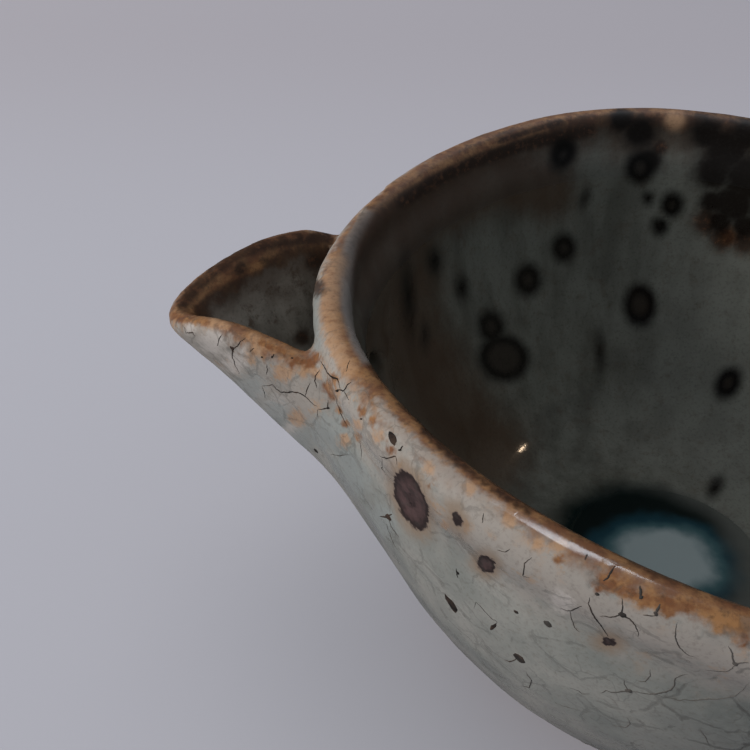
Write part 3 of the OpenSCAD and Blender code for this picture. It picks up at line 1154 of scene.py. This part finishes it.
@dataclass
class Board:
    """Hand for wiring one node tree, with the groups and the place that it uses; each call gives a node's output."""

    tree: NodeTree
    effects: "Effects | None" = None
    place: Socket = None

    def add(self, kind: str, *inputs: object, named: dict[str | int, object] | None = None,
            **settings: object) -> Node:
        """Adds a node, sets its properties and feeds its inputs.

        Args:
            kind: Blender's name of the node's type.
            *inputs: What to feed in order, None to skip one.
            named: What to feed by name or place in order.
            **settings: Properties to set.

        Returns:
            The node.
        """
        node = self.tree.nodes.new(kind)
        for name, value in settings.items():
            setattr(node, name, value)
        for key, value in (*enumerate(inputs), *(named or {}).items()):
            self.feed(node.inputs[key], value)
        return node

    def feed(self, socket: Socket, value: object) -> None:
        """Links an output to a socket, or sets the socket to a plain value.

        Args:
            socket: Socket to feed.
            value: Output, hex colour or plain value, or None to leave the socket alone.
        """
        if isinstance(value, Socket):
            self.tree.links.new(value, socket)
        elif value is not None:
            socket.default_value = tint(value) if isinstance(value, str) else value

    def sums(self, operation: str, a: object, b: object = None) -> Socket:
        """Result of a Math node."""
        return self.add("ShaderNodeMath", a, b, operation=operation).outputs[0]

    def plus(self, a: object, b: object) -> Socket:
        """Sum of two values."""
        return self.sums("ADD", a, b)

    def less(self, a: object, b: object) -> Socket:
        """Value less another."""
        return self.sums("SUBTRACT", a, b)

    def times(self, value: object, *factors: object) -> Socket:
        """Product of a value and each factor in turn."""
        return reduce(lambda product, factor: self.sums("MULTIPLY", product, factor), factors, value)

    def vectors(self, operation: str, a: object, b: object = None) -> Socket:
        """Vector that a Vector Math node gives."""
        return self.add("ShaderNodeVectorMath", a, b, operation=operation).outputs[0]

    def scaled(self, vector: Socket, factor: object) -> Socket:
        """Vector made longer by a factor."""
        return self.add("ShaderNodeVectorMath", vector, named={"Scale": factor}, operation="SCALE").outputs[0]

    def length(self, vector: Socket) -> Socket:
        """Length of a vector."""
        return self.add("ShaderNodeVectorMath", vector, operation="LENGTH").outputs["Value"]

    def axis(self, name: str) -> Socket:
        """The place's measure along one axis."""
        return self.add("ShaderNodeSeparateXYZ", self.place).outputs[name]

    def mix(self, factor: object, low: object, high: object) -> Socket:
        """Colour mixed from low to high by a factor."""
        return self.add("ShaderNodeMix", named={"Factor": factor, 6: low, 7: high}, data_type="RGBA").outputs[2]

    def step(self, value: object, low: object, high: object, start: object = 0.0, end: object = 1.0) -> Socket:
        """Value stepped smoothly from start at low to end at high."""
        kind = "ShaderNodeMapRange"
        return self.add(kind, value, low, high, start, end, interpolation_type="SMOOTHSTEP").outputs[0]

    def noise(self, grain: Grain, place: Socket = None, output: int | str = 0) -> Socket:
        """Noise with bumps of a size in millimetres, a detail and a roughness."""
        named = dict(zip(("Scale", "Detail", "Roughness"), (1 / grain[0], *grain[1:])))
        return self.add("ShaderNodeTexNoise", place or self.place, named=named).outputs[output]

    def cloud(self, cloud: Cloud, place: Socket = None) -> Socket:
        """Patches stepped out of noise."""
        return self.step(self.noise(cloud.grain, place), *cloud.span, 0.0, cloud.most)

    def swing(self, grain: Grain, reach: float = 1.0, place: Socket = None) -> Socket:
        """Noise that swings to both sides of zero."""
        return self.times(self.less(self.noise(grain, place), 0.5), reach)

    def mark(self, name: str) -> Socket:
        """Number that the skin stores at each point under a name."""
        return self.add("ShaderNodeAttribute", attribute_name=name).outputs["Fac"]

    def group(self, tree: NodeTree, **inputs: object) -> Items:
        """Outputs of a node group that follows the place and takes these inputs."""
        return self.add("ShaderNodeGroup", named={"Place": self.place, **inputs}, node_tree=tree).outputs

    def bump(self, height: Socket, strength: float, distance: float) -> Socket:
        """Normal bent over a height, by a strength and the height of a full bump."""
        return self.add("ShaderNodeBump", strength, distance, named={"Height": height}).outputs[0]


def new_material(name: str, effects: "Effects | None", rough: float = 0.5, shine: float = 0.5,
                 ) -> tuple[Material, Board, Items]:
    """Starts a material whose noise follows the place on the object in millimetres.

    Args:
        name: Name of the material.
        effects: Node groups that it may place.
        rough: Roughness of its surface.
        shine: Strength of its reflections.

    Returns:
        The material, its board and its shader's inputs.
    """
    material = bpy.data.materials.new(name)
    material.use_nodes = True
    board = Board(material.node_tree, effects)
    board.place = board.scaled(board.add("ShaderNodeTexCoord").outputs["Object"], 1 / MM)
    shader = board.tree.nodes["Principled BSDF"].inputs
    shader["Roughness"].default_value = rough
    shader["Specular IOR Level"].default_value = shine
    return material, board, shader


@dataclass
class Effects:
    """Shader node groups that several finishes share."""

    cell_warp: Grain = (4.0, 3.0, 0.6)
    net_patch: Cloud = Cloud((5.0, 3.0, 0.6), (0.36, 0.62))
    net_swell: Ramp = (0.0, 1.0, 0.5, 1.3)
    net_core: float = 0.2
    net_shown: Span = (0.45, 0.9)
    spot_grain: Grain = (1.3, 4.0, 0.65)
    spot_rim: Span = (0.45, 0.05)
    spot_pocks: Cloud = Cloud((0.9, 3.0, 0.7), (0.52, 0.6))
    spot_deep: Ramp = (-1.6, -0.7, 1.0, 0.0)
    spot_halo: Ramp = (0.0, 1.2, 1.0, 0.0)
    wash_grain: Grain = (1.3, 5.0, 0.62)
    wash_run: Ramp = (0.0, 1.0, 1.5, 0.35)
    wash_from: Ramp = (0.0, 1.0, 0.2, 0.05)
    wash_full: float = 0.85
    wash_least: Span = (0.03, 0.2)
    shore_lean: Triple = (3.6, -1.6, 0.0)
    shore_grain: Grain = (6.0, 3.0, 0.5)
    shore_wander: float = 4.0
    shore_span: Span = (12.4, 18.8)

    def __post_init__(self) -> None:
        """Builds each group once."""
        self.crackle = self.build_crackle()
        self.spots = self.build_spots()
        self.wash = self.build_wash()
        self.shore = self.build_shore()

    @staticmethod
    def start(name: str, takes: tuple[str, ...], gives: tuple[str, ...]) -> tuple[Board, Items, Items]:
        """Starts a node group with named sockets.

        Args:
            name: Name of the group.
            takes: Names of the number inputs, after the place that it always takes.
            gives: Names of the number outputs.

        Returns:
            Board of the group, outputs of its input node and inputs of its output node.
        """
        tree = bpy.data.node_groups.new(name, "ShaderNodeTree")
        tree.interface.new_socket("Place", in_out="INPUT", socket_type="NodeSocketVector")
        for way, sockets in (("INPUT", takes), ("OUTPUT", gives)):
            for socket in sockets:
                tree.interface.new_socket(socket, in_out=way, socket_type="NodeSocketFloat")
        board = Board(tree)
        given, out = board.add("NodeGroupInput").outputs, board.add("NodeGroupOutput").inputs
        board.place = given["Place"]
        return board, given, out

    def build_crackle(self) -> NodeTree:
        """Builds a broken net of hair cracks: lines between warped cells, which come and go over the surface.

        Returns:
            The group.
        """
        board, given, out = self.start("crackle", ("Cell", "Half Width", "Wander", "Spread"), ("Line",))
        shift = board.vectors("SUBTRACT", board.noise(self.cell_warp, output="Color"), (0.5, 0.5, 0.5))
        moved = board.vectors("ADD", board.place, board.scaled(shift, given["Wander"]))
        cells = board.add("ShaderNodeTexVoronoi", moved, feature="DISTANCE_TO_EDGE")
        board.feed(cells.inputs["Scale"], board.sums("DIVIDE", 1.0, given["Cell"]))
        gap = board.times(cells.outputs["Distance"], given["Cell"])
        patch = board.cloud(self.net_patch)
        width = board.times(given["Half Width"], board.step(patch, *self.net_swell))
        line = board.step(gap, board.times(width, self.net_core), width, 1.0, 0.0)
        shown = board.step(board.plus(patch, given["Spread"]), *self.net_shown)
        board.feed(out["Line"], board.times(line, shown))
        return board.tree

    def build_spots(self) -> NodeTree:
        """Builds iron spots with frayed edges: a core, its darker rim, holes in the core and a soft halo.

        Returns:
            The group.
        """
        board, given, out = self.start("iron_spots", ("Edge", "Fray", "Blur"), ("Core", "Rim", "Hole", "Halo"))
        edge = board.plus(given["Edge"], board.swing(self.spot_grain, given["Fray"]))
        back = board.times(given["Blur"], -1.0)
        core = board.step(edge, back, given["Blur"], 1.0, 0.0)
        board.feed(out["Core"], core)
        rim = board.step(edge, *(board.less(back, inset) for inset in self.spot_rim))
        board.feed(out["Rim"], board.times(core, rim))
        board.feed(out["Hole"], board.times(board.cloud(self.spot_pocks), board.step(edge, *self.spot_deep)))
        board.feed(out["Halo"], board.step(edge, *self.spot_halo))
        return board.tree

    def build_wash(self) -> NodeTree:
        """Builds a wash whose edge the run of the glaze breaks up, or leaves soft.

        Returns:
            The group.
        """
        board, given, out = self.start("wash", ("Level", "Soft"), ("Cover",))
        run = board.swing(self.wash_grain, board.step(given["Soft"], *self.wash_run))
        broken = board.plus(given["Level"], run)
        cover = board.step(broken, board.step(given["Soft"], *self.wash_from), self.wash_full)
        board.feed(out["Cover"], board.times(cover, board.step(given["Level"], *self.wash_least)))
        return board.tree

    def build_shore(self) -> NodeTree:
        """Builds the shore of the glass that thins out around the well, further out on the left.

        Returns:
            The group.
        """
        board, _, out = self.start("glass_shore", (), ("Shore",))
        flat = board.vectors("MULTIPLY", board.place, (1, 1, 0))
        spread = board.length(board.vectors("ADD", flat, self.shore_lean))
        spread = board.plus(spread, board.swing(self.shore_grain, self.shore_wander))
        board.feed(out["Shore"], board.step(spread, *self.shore_span))
        return board.tree


WASH_COVER = {
    Wash.CREAM: 0.78, Wash.CHALK: 0.85, Wash.GREEN: 0.8, Wash.PEACH: 0.75,
    Wash.AMBER: 0.95, Wash.STAIN: 0.75, Wash.BURNT: 0.88, Wash.CHAR: 0.97,
}


@dataclass(frozen=True)
class GlazeFinish:
    """Colours, patches and gloss of one glaze coat; lengths along it are in millimetres."""

    name: str
    inside_rust: float = 0.25
    gloss: float = 0.15
    far_gloss: float = 0.5
    far_span: Span = (-25.0, 5.0)
    shine: float = 0.28
    matte: float = 0.75
    grey: str = "#70726c"
    grey_pale: str = "#8a8880"
    # painted shade: darker grey laid over the outside wall towards the right, where the wall lies in shade
    grey_painted_shade: str = "#50524e"
    cream: str = "#8d867d"
    chalk: str = "#a7a098"
    green: str = "#7d817d"
    peach: str = "#9c7b5c"
    amber: str = "#68432a"
    amber_pale: str = "#89633f"
    burnt: str = "#2c1d14"
    char: str = "#120d0a"
    inside_pale: str = "#5a5b53"
    inside_dark: str = "#474740"
    # painted light: paler grey laid inside towards the right, where the inner wall catches light
    inside_painted_light: str = "#6f7068"
    # painted reflection: grey that the cream wash takes inside, standing in for the sky mirrored on the rim's inner
    # bevel
    inside_painted_reflection: str = "#7d7873"
    stain: str = "#3d2b1d"
    crack: str = "#3a3733"
    spot: str = "#4c3a38"
    spot_rim: str = "#2b2220"
    hole: str = "#140f0f"
    halo: str = "#786552"
    inside_spot: str = "#0d0b09"
    inside_core: str = "#2c2721"
    glass: str = "#04100f"
    grain: str = "#4f453b"
    inside_grain: str = "#262520"
    pale_patch: Cloud = Cloud((12.0, 4.0, 0.55), (0.36, 0.64))
    thin_patch: Cloud = Cloud((1.5, 4.0, 0.6), (0.46, 0.66), 0.5)
    blush_patch: Cloud = Cloud((3.0, 5.0, 0.68), (0.54, 0.68))
    streaks: Cloud = Cloud((6.0, 4.0, 0.55), (0.34, 0.66))
    amber_patch: Cloud = Cloud((3.2, 5.0, 0.65), (0.4, 0.62))
    amber_fleck: Cloud = Cloud((0.9, 4.0, 0.7), (0.5, 0.7), 0.45)
    wash_fleck: Cloud = Cloud((1.1, 5.0, 0.7), (0.48, 0.7), 0.55)
    grain_patch: Cloud = Cloud((0.5, 4.0, 0.65), (0.48, 0.72), 0.3)
    spot_mottle: Cloud = Cloud((1.6, 4.0, 0.65), (0.42, 0.62), 0.6)
    rust_grain: Grain = (2.4, 5.0, 0.7)
    rust_span: Span = (0.5, 0.7)
    run_grain: Grain = (5.0, 4.0, 0.6)
    run: float = 12.0
    # span along x over which the outside takes the painted shade, and how fully it covers
    rightward: Ramp = (-32.0, 4.0, 0.0, 0.95)
    cream_fall: Ramp = (7.0, 14.0, 0.85, 0.0)
    blush_fall: Ramp = (2.0, 16.0, 0.75, 0.0)
    streak_draw: Triple = (1.0, 1.0, 0.22)
    # span along x over which the inside takes the painted light, and how fully it covers
    clear: Ramp = (-14.0, 18.0, 0.0, 0.5)
    inside_edge: Ramp = (-12.0, -4.0, 0.0, 0.7)
    lip_broad: Grain = (6.0, 4.0, 0.6)
    lip_drips: Grain = (1.4, 4.0, 0.6)
    lip_draw: Triple = (1.0, 1.0, 0.3)
    lip_fray: Span = (4.0, 3.6)
    crest: tuple[Ramp, Span] = ((0.2, 2.6, 0.9, 0.0), (-4.5, -2.0))
    edge: tuple[Ramp, Span] = ((-2.2, -0.6, 0.75, 0.0), (-5.0, -3.0))
    glass_fall: Ramp = (22.0, 26.0, 1.0, 0.0)
    spot_fray: float = 0.9
    spot_blur: Ramp = (0.0, 1.0, 0.09, 1.3)
    spot_halo: float = 0.75
    ring_turns: float = 9.0
    rings: Ramp = (0.2, 0.9, 0.0, 0.25)
    core_deep: Ramp = (-2.8, -1.1, 0.8, 0.0)
    net: tuple[float, ...] = (5.5, 0.24, 3.0, 0.22)
    fine_net: tuple[float, ...] = (2.4, 0.08, 1.6, -0.1)
    net_shown: Ramp = (-25.0, 0.0, 0.3, 0.72)
    fine_shown: float = 0.22
    lump_grain: Grain = (1.8, 3.0, 0.55)
    bumps: Triple = (0.3, 0.6, 0.8)
    bump: Span = (0.3, 0.2 * MM)

    def build(self, effects: Effects) -> Material:
        """Makes the coat's material.

        Args:
            effects: Node groups to place in it.

        Returns:
            The material.
        """
        material, board, shader = new_material(self.name, effects, shine=self.shine)
        outside = board.less(1.0, board.mark("inside"))
        spots = board.group(board.effects.spots, Edge=board.mark("spot"), Fray=self.spot_fray,
                            Blur=board.step(board.mark("inside"), *self.spot_blur))
        hairs = board.times(self.hairs(board), outside)
        colour = self.grained(board, self.washed(board, self.iron_lip(board, self.ground(board))))
        colour = board.mix(board.times(spots["Halo"], outside, self.spot_halo), colour, self.halo)
        colour = board.mix(spots["Core"], colour, self.iron(board, spots))
        board.feed(shader["Base Color"], board.mix(hairs, colour, self.crack))
        matte = board.sums("MAXIMUM", hairs, board.times(spots["Core"], outside))
        gloss = board.step(board.axis("Y"), *self.far_span, self.gloss, self.far_gloss)
        board.feed(shader["Roughness"], board.step(matte, 0.0, 1.0, gloss, self.matte))
        lumps, hair_deep, hole_deep = self.bumps
        height = board.less(board.times(board.noise(self.lump_grain), lumps), board.times(hairs, hair_deep))
        height = board.less(height, board.times(spots["Hole"], hole_deep))
        board.feed(shader["Normal"], board.bump(height, *self.bump))
        return material

    def ground(self, board: Board) -> Socket:
        """Colours the glaze itself: grey below and cream near the lip outside, dark grey-green inside; painted shade
        darkens the outside and painted light lightens the inside towards the right.

        Args:
            board: Board of the material.

        Returns:
            The colour.
        """
        ragged = board.plus(board.mark("lip"), board.swing(self.run_grain, self.run))
        outer = board.mix(board.cloud(self.pale_patch), self.grey, self.grey_pale)
        # painted shade: the outside darkens towards the right, standing in for the shade on that side of the wall
        outer = board.mix(board.step(board.axis("X"), *self.rightward), outer, self.grey_painted_shade)
        outer = board.mix(board.step(ragged, *self.cream_fall), outer, self.cream)
        outer = board.mix(board.cloud(self.thin_patch), outer, self.grey)
        blush = board.times(board.cloud(self.blush_patch), board.step(ragged, *self.blush_fall))
        outer = board.mix(blush, outer, self.peach)
        drawn = board.vectors("MULTIPLY", board.place, self.streak_draw)
        inner = board.mix(board.cloud(self.streaks, drawn), self.inside_pale, self.inside_dark)
        # painted light: the inside lightens towards the right, standing in for the light on that side of the inner wall
        inner = board.mix(board.step(board.axis("X"), *self.clear), inner, self.inside_painted_light)
        rusty = Cloud(self.rust_grain, self.rust_span, self.inside_rust)
        inner = board.mix(board.cloud(rusty), inner, self.stain)
        inner = board.mix(board.step(ragged, *self.inside_edge), inner, self.stain)
        return board.mix(board.mark("inside"), outer, inner)

    def iron_lip(self, board: Board, colour: Socket) -> Socket:
        """Lays iron along the crest of the lip: amber on top, burnt along the inner edge.

        Args:
            board: Board of the material.
            colour: Colour under it.

        Returns:
            The colour with the iron over it.
        """
        drawn = board.vectors("MULTIPLY", board.place, self.lip_draw)
        broad, drips = self.lip_fray
        fray = board.plus(board.swing(self.lip_broad, broad), board.swing(self.lip_drips, drips, drawn))
        ragged = board.plus(board.mark("lip"), fray)
        for (fall, rise), shade in ((self.crest, self.mottled_amber(board)), (self.edge, self.burnt)):
            cover = board.times(board.step(ragged, *fall), board.step(ragged, *rise))
            colour = board.mix(cover, colour, shade)
        return colour

    def mottled_amber(self, board: Board) -> Socket:
        """Amber that pales where it lies thin, with burnt flecks."""
        colour = board.mix(board.cloud(self.amber_patch), self.amber, self.amber_pale)
        return board.mix(board.cloud(self.amber_fleck), colour, self.burnt)

    def washed(self, board: Board, colour: Socket) -> Socket:
        """Lays each wash over a colour, pale ones first.

        Args:
            board: Board of the material.
            colour: Colour under them.

        Returns:
            The colour with the washes over it.
        """
        inside = board.mark("inside")
        fleck = board.cloud(self.wash_fleck)
        # the cream wash is real cream outside and a painted sky reflection inside
        shades = {Wash.CREAM: board.mix(inside, self.cream, self.inside_painted_reflection), Wash.CHALK: self.chalk,
                  Wash.GREEN: self.green, Wash.PEACH: board.mix(fleck, self.peach, self.amber),
                  Wash.AMBER: self.mottled_amber(board), Wash.STAIN: self.stain,
                  Wash.BURNT: board.mix(fleck, self.burnt, self.amber), Wash.CHAR: self.char}
        for wash, most in WASH_COVER.items():
            level = board.mark(wash.value)
            cover = board.group(board.effects.wash, Level=level, Soft=inside)["Cover"]
            colour = board.mix(board.times(cover, most), colour, shades[wash])
        return colour

    def grained(self, board: Board, colour: Socket) -> Socket:
        """Darkens the coat where glass lies over it in the well, and grains all of it.

        Args:
            board: Board of the material.
            colour: Colour under the grain.

        Returns:
            The grained colour.
        """
        inside = board.mark("inside")
        glass = board.less(1.0, board.group(board.effects.shore)["Shore"])
        glass = board.times(glass, board.step(board.axis("Z"), *self.glass_fall), inside)
        colour = board.mix(glass, colour, self.glass)
        return board.mix(board.cloud(self.grain_patch), colour, board.mix(inside, self.grain, self.inside_grain))

    def iron(self, board: Board, spots: Items) -> Socket:
        """Colours the iron spots: ringed and pocked outside, sooty with a paler core inside.

        Args:
            board: Board of the material.
            spots: Outputs of the spots' group.

        Returns:
            The colour.
        """
        rings = board.sums("SINE", board.times(board.mark("spot"), self.ring_turns))
        iron = board.mix(spots["Rim"], self.spot, self.spot_rim)
        iron = board.mix(board.step(rings, *self.rings), iron, self.spot_rim)
        iron = board.mix(board.cloud(self.spot_mottle), iron, self.spot_rim)
        iron = board.mix(spots["Hole"], iron, self.hole)
        soot = board.mix(board.step(board.mark("spot"), *self.core_deep), self.inside_spot, self.inside_core)
        return board.mix(board.mark("inside"), iron, soot)

    def hairs(self, board: Board) -> Socket:
        """Draws the hair cracks, a wide net and a fine one.

        Args:
            board: Board of the material.

        Returns:
            How strongly a crack shows.
        """
        lines = []
        names = ("Cell", "Half Width", "Wander", "Spread")
        for net, shown in ((self.net, board.step(board.axis("X"), *self.net_shown)), (self.fine_net, self.fine_shown)):
            line = board.group(board.effects.crackle, **dict(zip(names, net)))["Line"]
            lines.append(board.times(line, shown))
        return board.sums("MAXIMUM", *lines)


@dataclass(frozen=True)
class ClayFinish:
    """Colours and tooth of bare stoneware: toasted clouds and iron specks over a toothy ground."""

    name: str
    ground: str = "#6d5744"
    toasted: str = "#8a6a4c"
    speck: str = "#2f2621"
    toast: Cloud = Cloud((9.0, 4.0, 0.6), (0.4, 0.62))
    specks: Cloud = Cloud((0.8, 2.0, 0.6), (0.66, 0.72))
    tooth: Grain = (0.5, 4.0, 0.7)
    bump: Span = (0.5, 0.12 * MM)
    rough: float = 0.82

    def build(self, effects: Effects) -> Material:
        """Makes the clay's material.

        Args:
            effects: Node groups that it may place.

        Returns:
            The material.
        """
        material, board, shader = new_material(self.name, effects, rough=self.rough)
        colour = board.mix(board.cloud(self.toast), self.ground, self.toasted)
        board.feed(shader["Base Color"], board.mix(board.cloud(self.specks), colour, self.speck))
        board.feed(shader["Normal"], board.bump(board.noise(self.tooth), *self.bump))
        return material


@dataclass(frozen=True)
class PoolFinish:
    """Colours of the glass gathered in the well: rings from its milky middle to its dark edge, wandering as it ran."""

    name: str = "blue_green_glass"
    milk: str = "#838e8d"
    mist: str = "#375356"
    teal: str = "#10323b"
    dark: str = "#04100f"
    shore: str = "#4b4d48"
    mist_span: Span = (4.8, 7.6)
    teal_span: Span = (7.0, 9.2)
    dark_span: Span = (8.8, 11.8)
    squash: Triple = (0.78, 1.0, 0.0)
    melt: Grain = (5.0, 3.0, 0.5)
    wander: float = 4.0
    rough: float = 0.3
    shine: float = 0.4

    def build(self, effects: Effects) -> Material:
        """Makes the glass's material.

        Args:
            effects: Node groups to place in it.

        Returns:
            The material.
        """
        material, board, shader = new_material(self.name, effects, rough=self.rough, shine=self.shine)
        spread = board.length(board.vectors("MULTIPLY", board.place, self.squash))
        reach = board.plus(spread, board.swing(self.melt, self.wander))
        rings = ((self.mist_span, self.mist), (self.teal_span, self.teal), (self.dark_span, self.dark))
        colour = self.milk
        for span, shade in rings:
            colour = board.mix(board.step(reach, *span), colour, shade)
        shore = board.group(board.effects.shore)["Shore"]
        board.feed(shader["Base Color"], board.mix(shore, colour, self.shore))
        return material


@dataclass(frozen=True)
class CrackFinish:
    """Colours of the open cracks and pits: dark, browner in places, greyer where glaze filled them again."""

    name: str = "stained_cracks"
    dark: str = "#1f1c1a"
    brown: str = "#3a2e26"
    filled: str = "#5b5751"
    brown_patch: Cloud = Cloud((2.0, 3.0, 0.6), (0.42, 0.6))
    filled_grain: Grain = (22.0, 2.0, 0.5)
    filled_span: Span = (0.3, 0.7)
    rightward: Ramp = (-38.0, 2.0, -0.25, 0.6)
    rough: float = 0.7
    shine: float = 0.2

    def build(self, effects: Effects) -> Material:
        """Makes the material of the cracks.

        Args:
            effects: Node groups that it may place.

        Returns:
            The material.
        """
        material, board, shader = new_material(self.name, effects, rough=self.rough, shine=self.shine)
        colour = board.mix(board.cloud(self.brown_patch), self.dark, self.brown)
        filled = board.plus(board.noise(self.filled_grain), board.step(board.axis("X"), *self.rightward))
        board.feed(shader["Base Color"], board.mix(board.step(filled, *self.filled_span), colour, self.filled))
        return material


@dataclass(frozen=True)
class Bulb:
    """Small warm bulb far off, seen only as a glint at a place in the photograph."""

    name: str
    glint: Pixel
    power: float
    only: tuple[Zone, ...] = (Zone.INNER,)
    colour: Triple = (1.0, 0.74, 0.5)
    away: float = 1.3
    radius: float = 0.025


@dataclass(frozen=True)
class SoftLight:
    """Soft light: its way, size and power, whether it lights or glints, on which coats, and how it is rolled."""

    name: str
    way: Triple
    wide: float
    high: float
    power: float
    lights: bool = True
    glints: bool = False
    only: tuple[Zone, ...] = ()
    roll: float = 0.0
    colour: Triple = (1.0, 0.965, 0.95)
    away: float = 3.0


@dataclass
class Studio:
    """Plain pale floor, soft light and the world around them."""

    glazed: GlazedSkin
    floor_side: float = 6.0
    floor_near: str = "#b0afb4"
    floor_far: str = "#a8a4a8"
    floor_far_mm: Span = (60.0, 340.0)
    floor_glint: str = "#6c6b6e"
    floor_rough: float = 0.8
    floor_shine: float = 0.1
    backdrop: str = "#a29fa4"
    sky: str = "#dde4f0"
    sky_level: float = 0.68
    sky_glint: float = 0.07
    soft_lights: tuple[SoftLight, ...] = (
        SoftLight("left_softbox", (-0.93, -0.10, 0.36), 1.6, 1.6, 88.0),
        SoftLight("top_softbox", (0.0, 0.15, 0.99), 2.0, 2.0, 14.0),
        SoftLight("window", (0.07, 0.30, 0.95), 0.42, 1.9, 34.0, False, True, (Zone.RIM, Zone.OUTER), -30.0,
                  (0.82, 0.91, 1.0)),
    )
    bulb: Bulb = Bulb("far_bulb", (522, 449), 2.6)

    def build(self) -> None:
        """Adds the floor, the lamps and the world."""
        self.add_floor()
        self.add_world()
        for light in self.soft_lights:
            self.add_soft_light(light)
        self.add_bulb(self.bulb)

    def add_floor(self) -> None:
        """Adds a plain floor that is a little warmer far off and darker in reflections."""
        bpy.ops.object.select_all(action="DESELECT")
        bpy.ops.mesh.primitive_plane_add(size=self.floor_side)
        floor = bpy.context.object
        floor.name = "floor"
        paper, board, shader = new_material("paper_floor", None, rough=self.floor_rough, shine=self.floor_shine)
        colour = board.mix(board.step(board.axis("Y"), *self.floor_far_mm), self.floor_near, self.floor_far)
        glossy = board.add("ShaderNodeLightPath").outputs["Is Glossy Ray"]
        board.feed(shader["Base Color"], board.mix(glossy, colour, self.floor_glint))
        floor.data.materials.append(paper)

    def add_world(self) -> None:
        """Adds an even sky, dimmer in reflections, that the camera sees as the backdrop."""
        world = bpy.data.worlds.new("studio")
        bpy.context.scene.world = world
        world.use_nodes = True
        board = Board(world.node_tree)
        sky = board.tree.nodes["Background"].inputs
        path = board.add("ShaderNodeLightPath").outputs
        board.feed(sky["Color"], board.mix(path["Is Camera Ray"], self.sky, self.backdrop))
        level = board.step(path["Is Glossy Ray"], 0.0, 1.0, self.sky_level, self.sky_glint)
        board.feed(sky["Strength"], board.sums("MAXIMUM", level, path["Is Camera Ray"]))

    def add_soft_light(self, light: SoftLight) -> None:
        """Adds one soft light that faces the piece.

        Args:
            light: The light.
        """
        lamp = self.add_lamp(light, "AREA")
        lamp.data.shape = "RECTANGLE"
        lamp.data.size, lamp.data.size_y = light.wide, light.high
        way = Vector(light.way).normalized()
        lamp.location = way * light.away
        roll = Quaternion((0, 0, 1), math.radians(light.roll))
        lamp.rotation_euler = ((-way).to_track_quat("-Z", "Y") @ roll).to_euler()
        lamp.visible_diffuse = light.lights
        lamp.visible_glossy = light.glints

    def add_bulb(self, bulb: Bulb) -> None:
        """Adds one small bulb where the skin mirrors it to the camera.

        Args:
            bulb: The bulb.
        """
        lamp = self.add_lamp(bulb, "POINT")
        lamp.data.shadow_soft_size = bulb.radius
        lamp.location = self.glazed.mirrored(bulb.glint, bulb.away)
        lamp.visible_diffuse = False

    def add_lamp(self, light: SoftLight | Bulb, kind: str) -> Object:
        """Adds a lamp, kept to some coats where the light names them.

        Args:
            light: The light that it gives.
            kind: Blender's name of the lamp's type.

        Returns:
            The lamp, at the origin.
        """
        data = bpy.data.lights.new(light.name, kind)
        data.energy = light.power
        data.color = light.colour
        lamp = linked(light.name, data)
        if light.only:
            shone = bpy.data.collections.new(light.name + "_coats")
            for zone in light.only:
                shone.objects.link(self.glazed.pieces[zone])
            lamp.light_linking.receiver_collection = shone
        return lamp


FINISHES = {
    Zone.OUTER: GlazeFinish("pale_crackle_glaze"),
    Zone.RIM: GlazeFinish("iron_amber_glaze", far_gloss=0.6, shine=0.35),
    Zone.INNER: GlazeFinish("grey_green_glaze", gloss=0.1, far_gloss=0.1, shine=0.25),
    # painted light: the inside of the spout takes paler greys than the bowl's inside, standing in for light in the
    # shaded trough
    Zone.SPOUT: GlazeFinish("blushed_glaze", inside_pale="#847f75", inside_dark="#5c5850", inside_rust=0.75),
}


def dress(piece: Object, material: Material) -> None:
    """Gives a piece its one material and reports the piece.

    Args:
        piece: The piece.
        material: Its material.
    """
    piece.data.materials.clear()
    piece.data.materials.append(material)
    LOG.info("%s: %d faces", piece.name, len(piece.data.polygons))


def main() -> None:
    """Builds the pourer piece by piece."""
    logging.basicConfig(level=logging.INFO, format="%(message)s")
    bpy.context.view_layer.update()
    camera = PhotoCamera()
    camera.build()
    glazed = GlazedSkin(camera)
    glazed.build()
    effects = Effects()
    for zone, coat in glazed.pieces.items():
        finish = FINISHES[zone]
        dress(coat, finish.build(effects))
    crazing = Crazing(glazed)
    crazing.build()
    dress(crazing.piece, CrackFinish().build(effects))
    clay = ClayBody(glazed.skin)
    clay.build()
    dress(clay.piece, ClayFinish("fired_clay").build(effects))
    Studio(glazed).build()
    bpy.data.objects.remove(glazed.skin)
    foot = WornPiece("foot_ring", "foot", "bare_foot_clay")
    foot.build()
    dress(foot.piece, ClayFinish("bare_foot_clay").build(effects))
    pool = GlassPool("glaze_pool", "pool", "blue_green_glass", voxel=0.4 * MM, rounds=4, lump=0.02 * MM)
    pool.build()
    dress(pool.piece, PoolFinish().build(effects))
    bpy.context.scene.view_settings.view_transform = "Standard"
    bpy.context.view_layer.update()


if __name__ == "__main__":
    main()
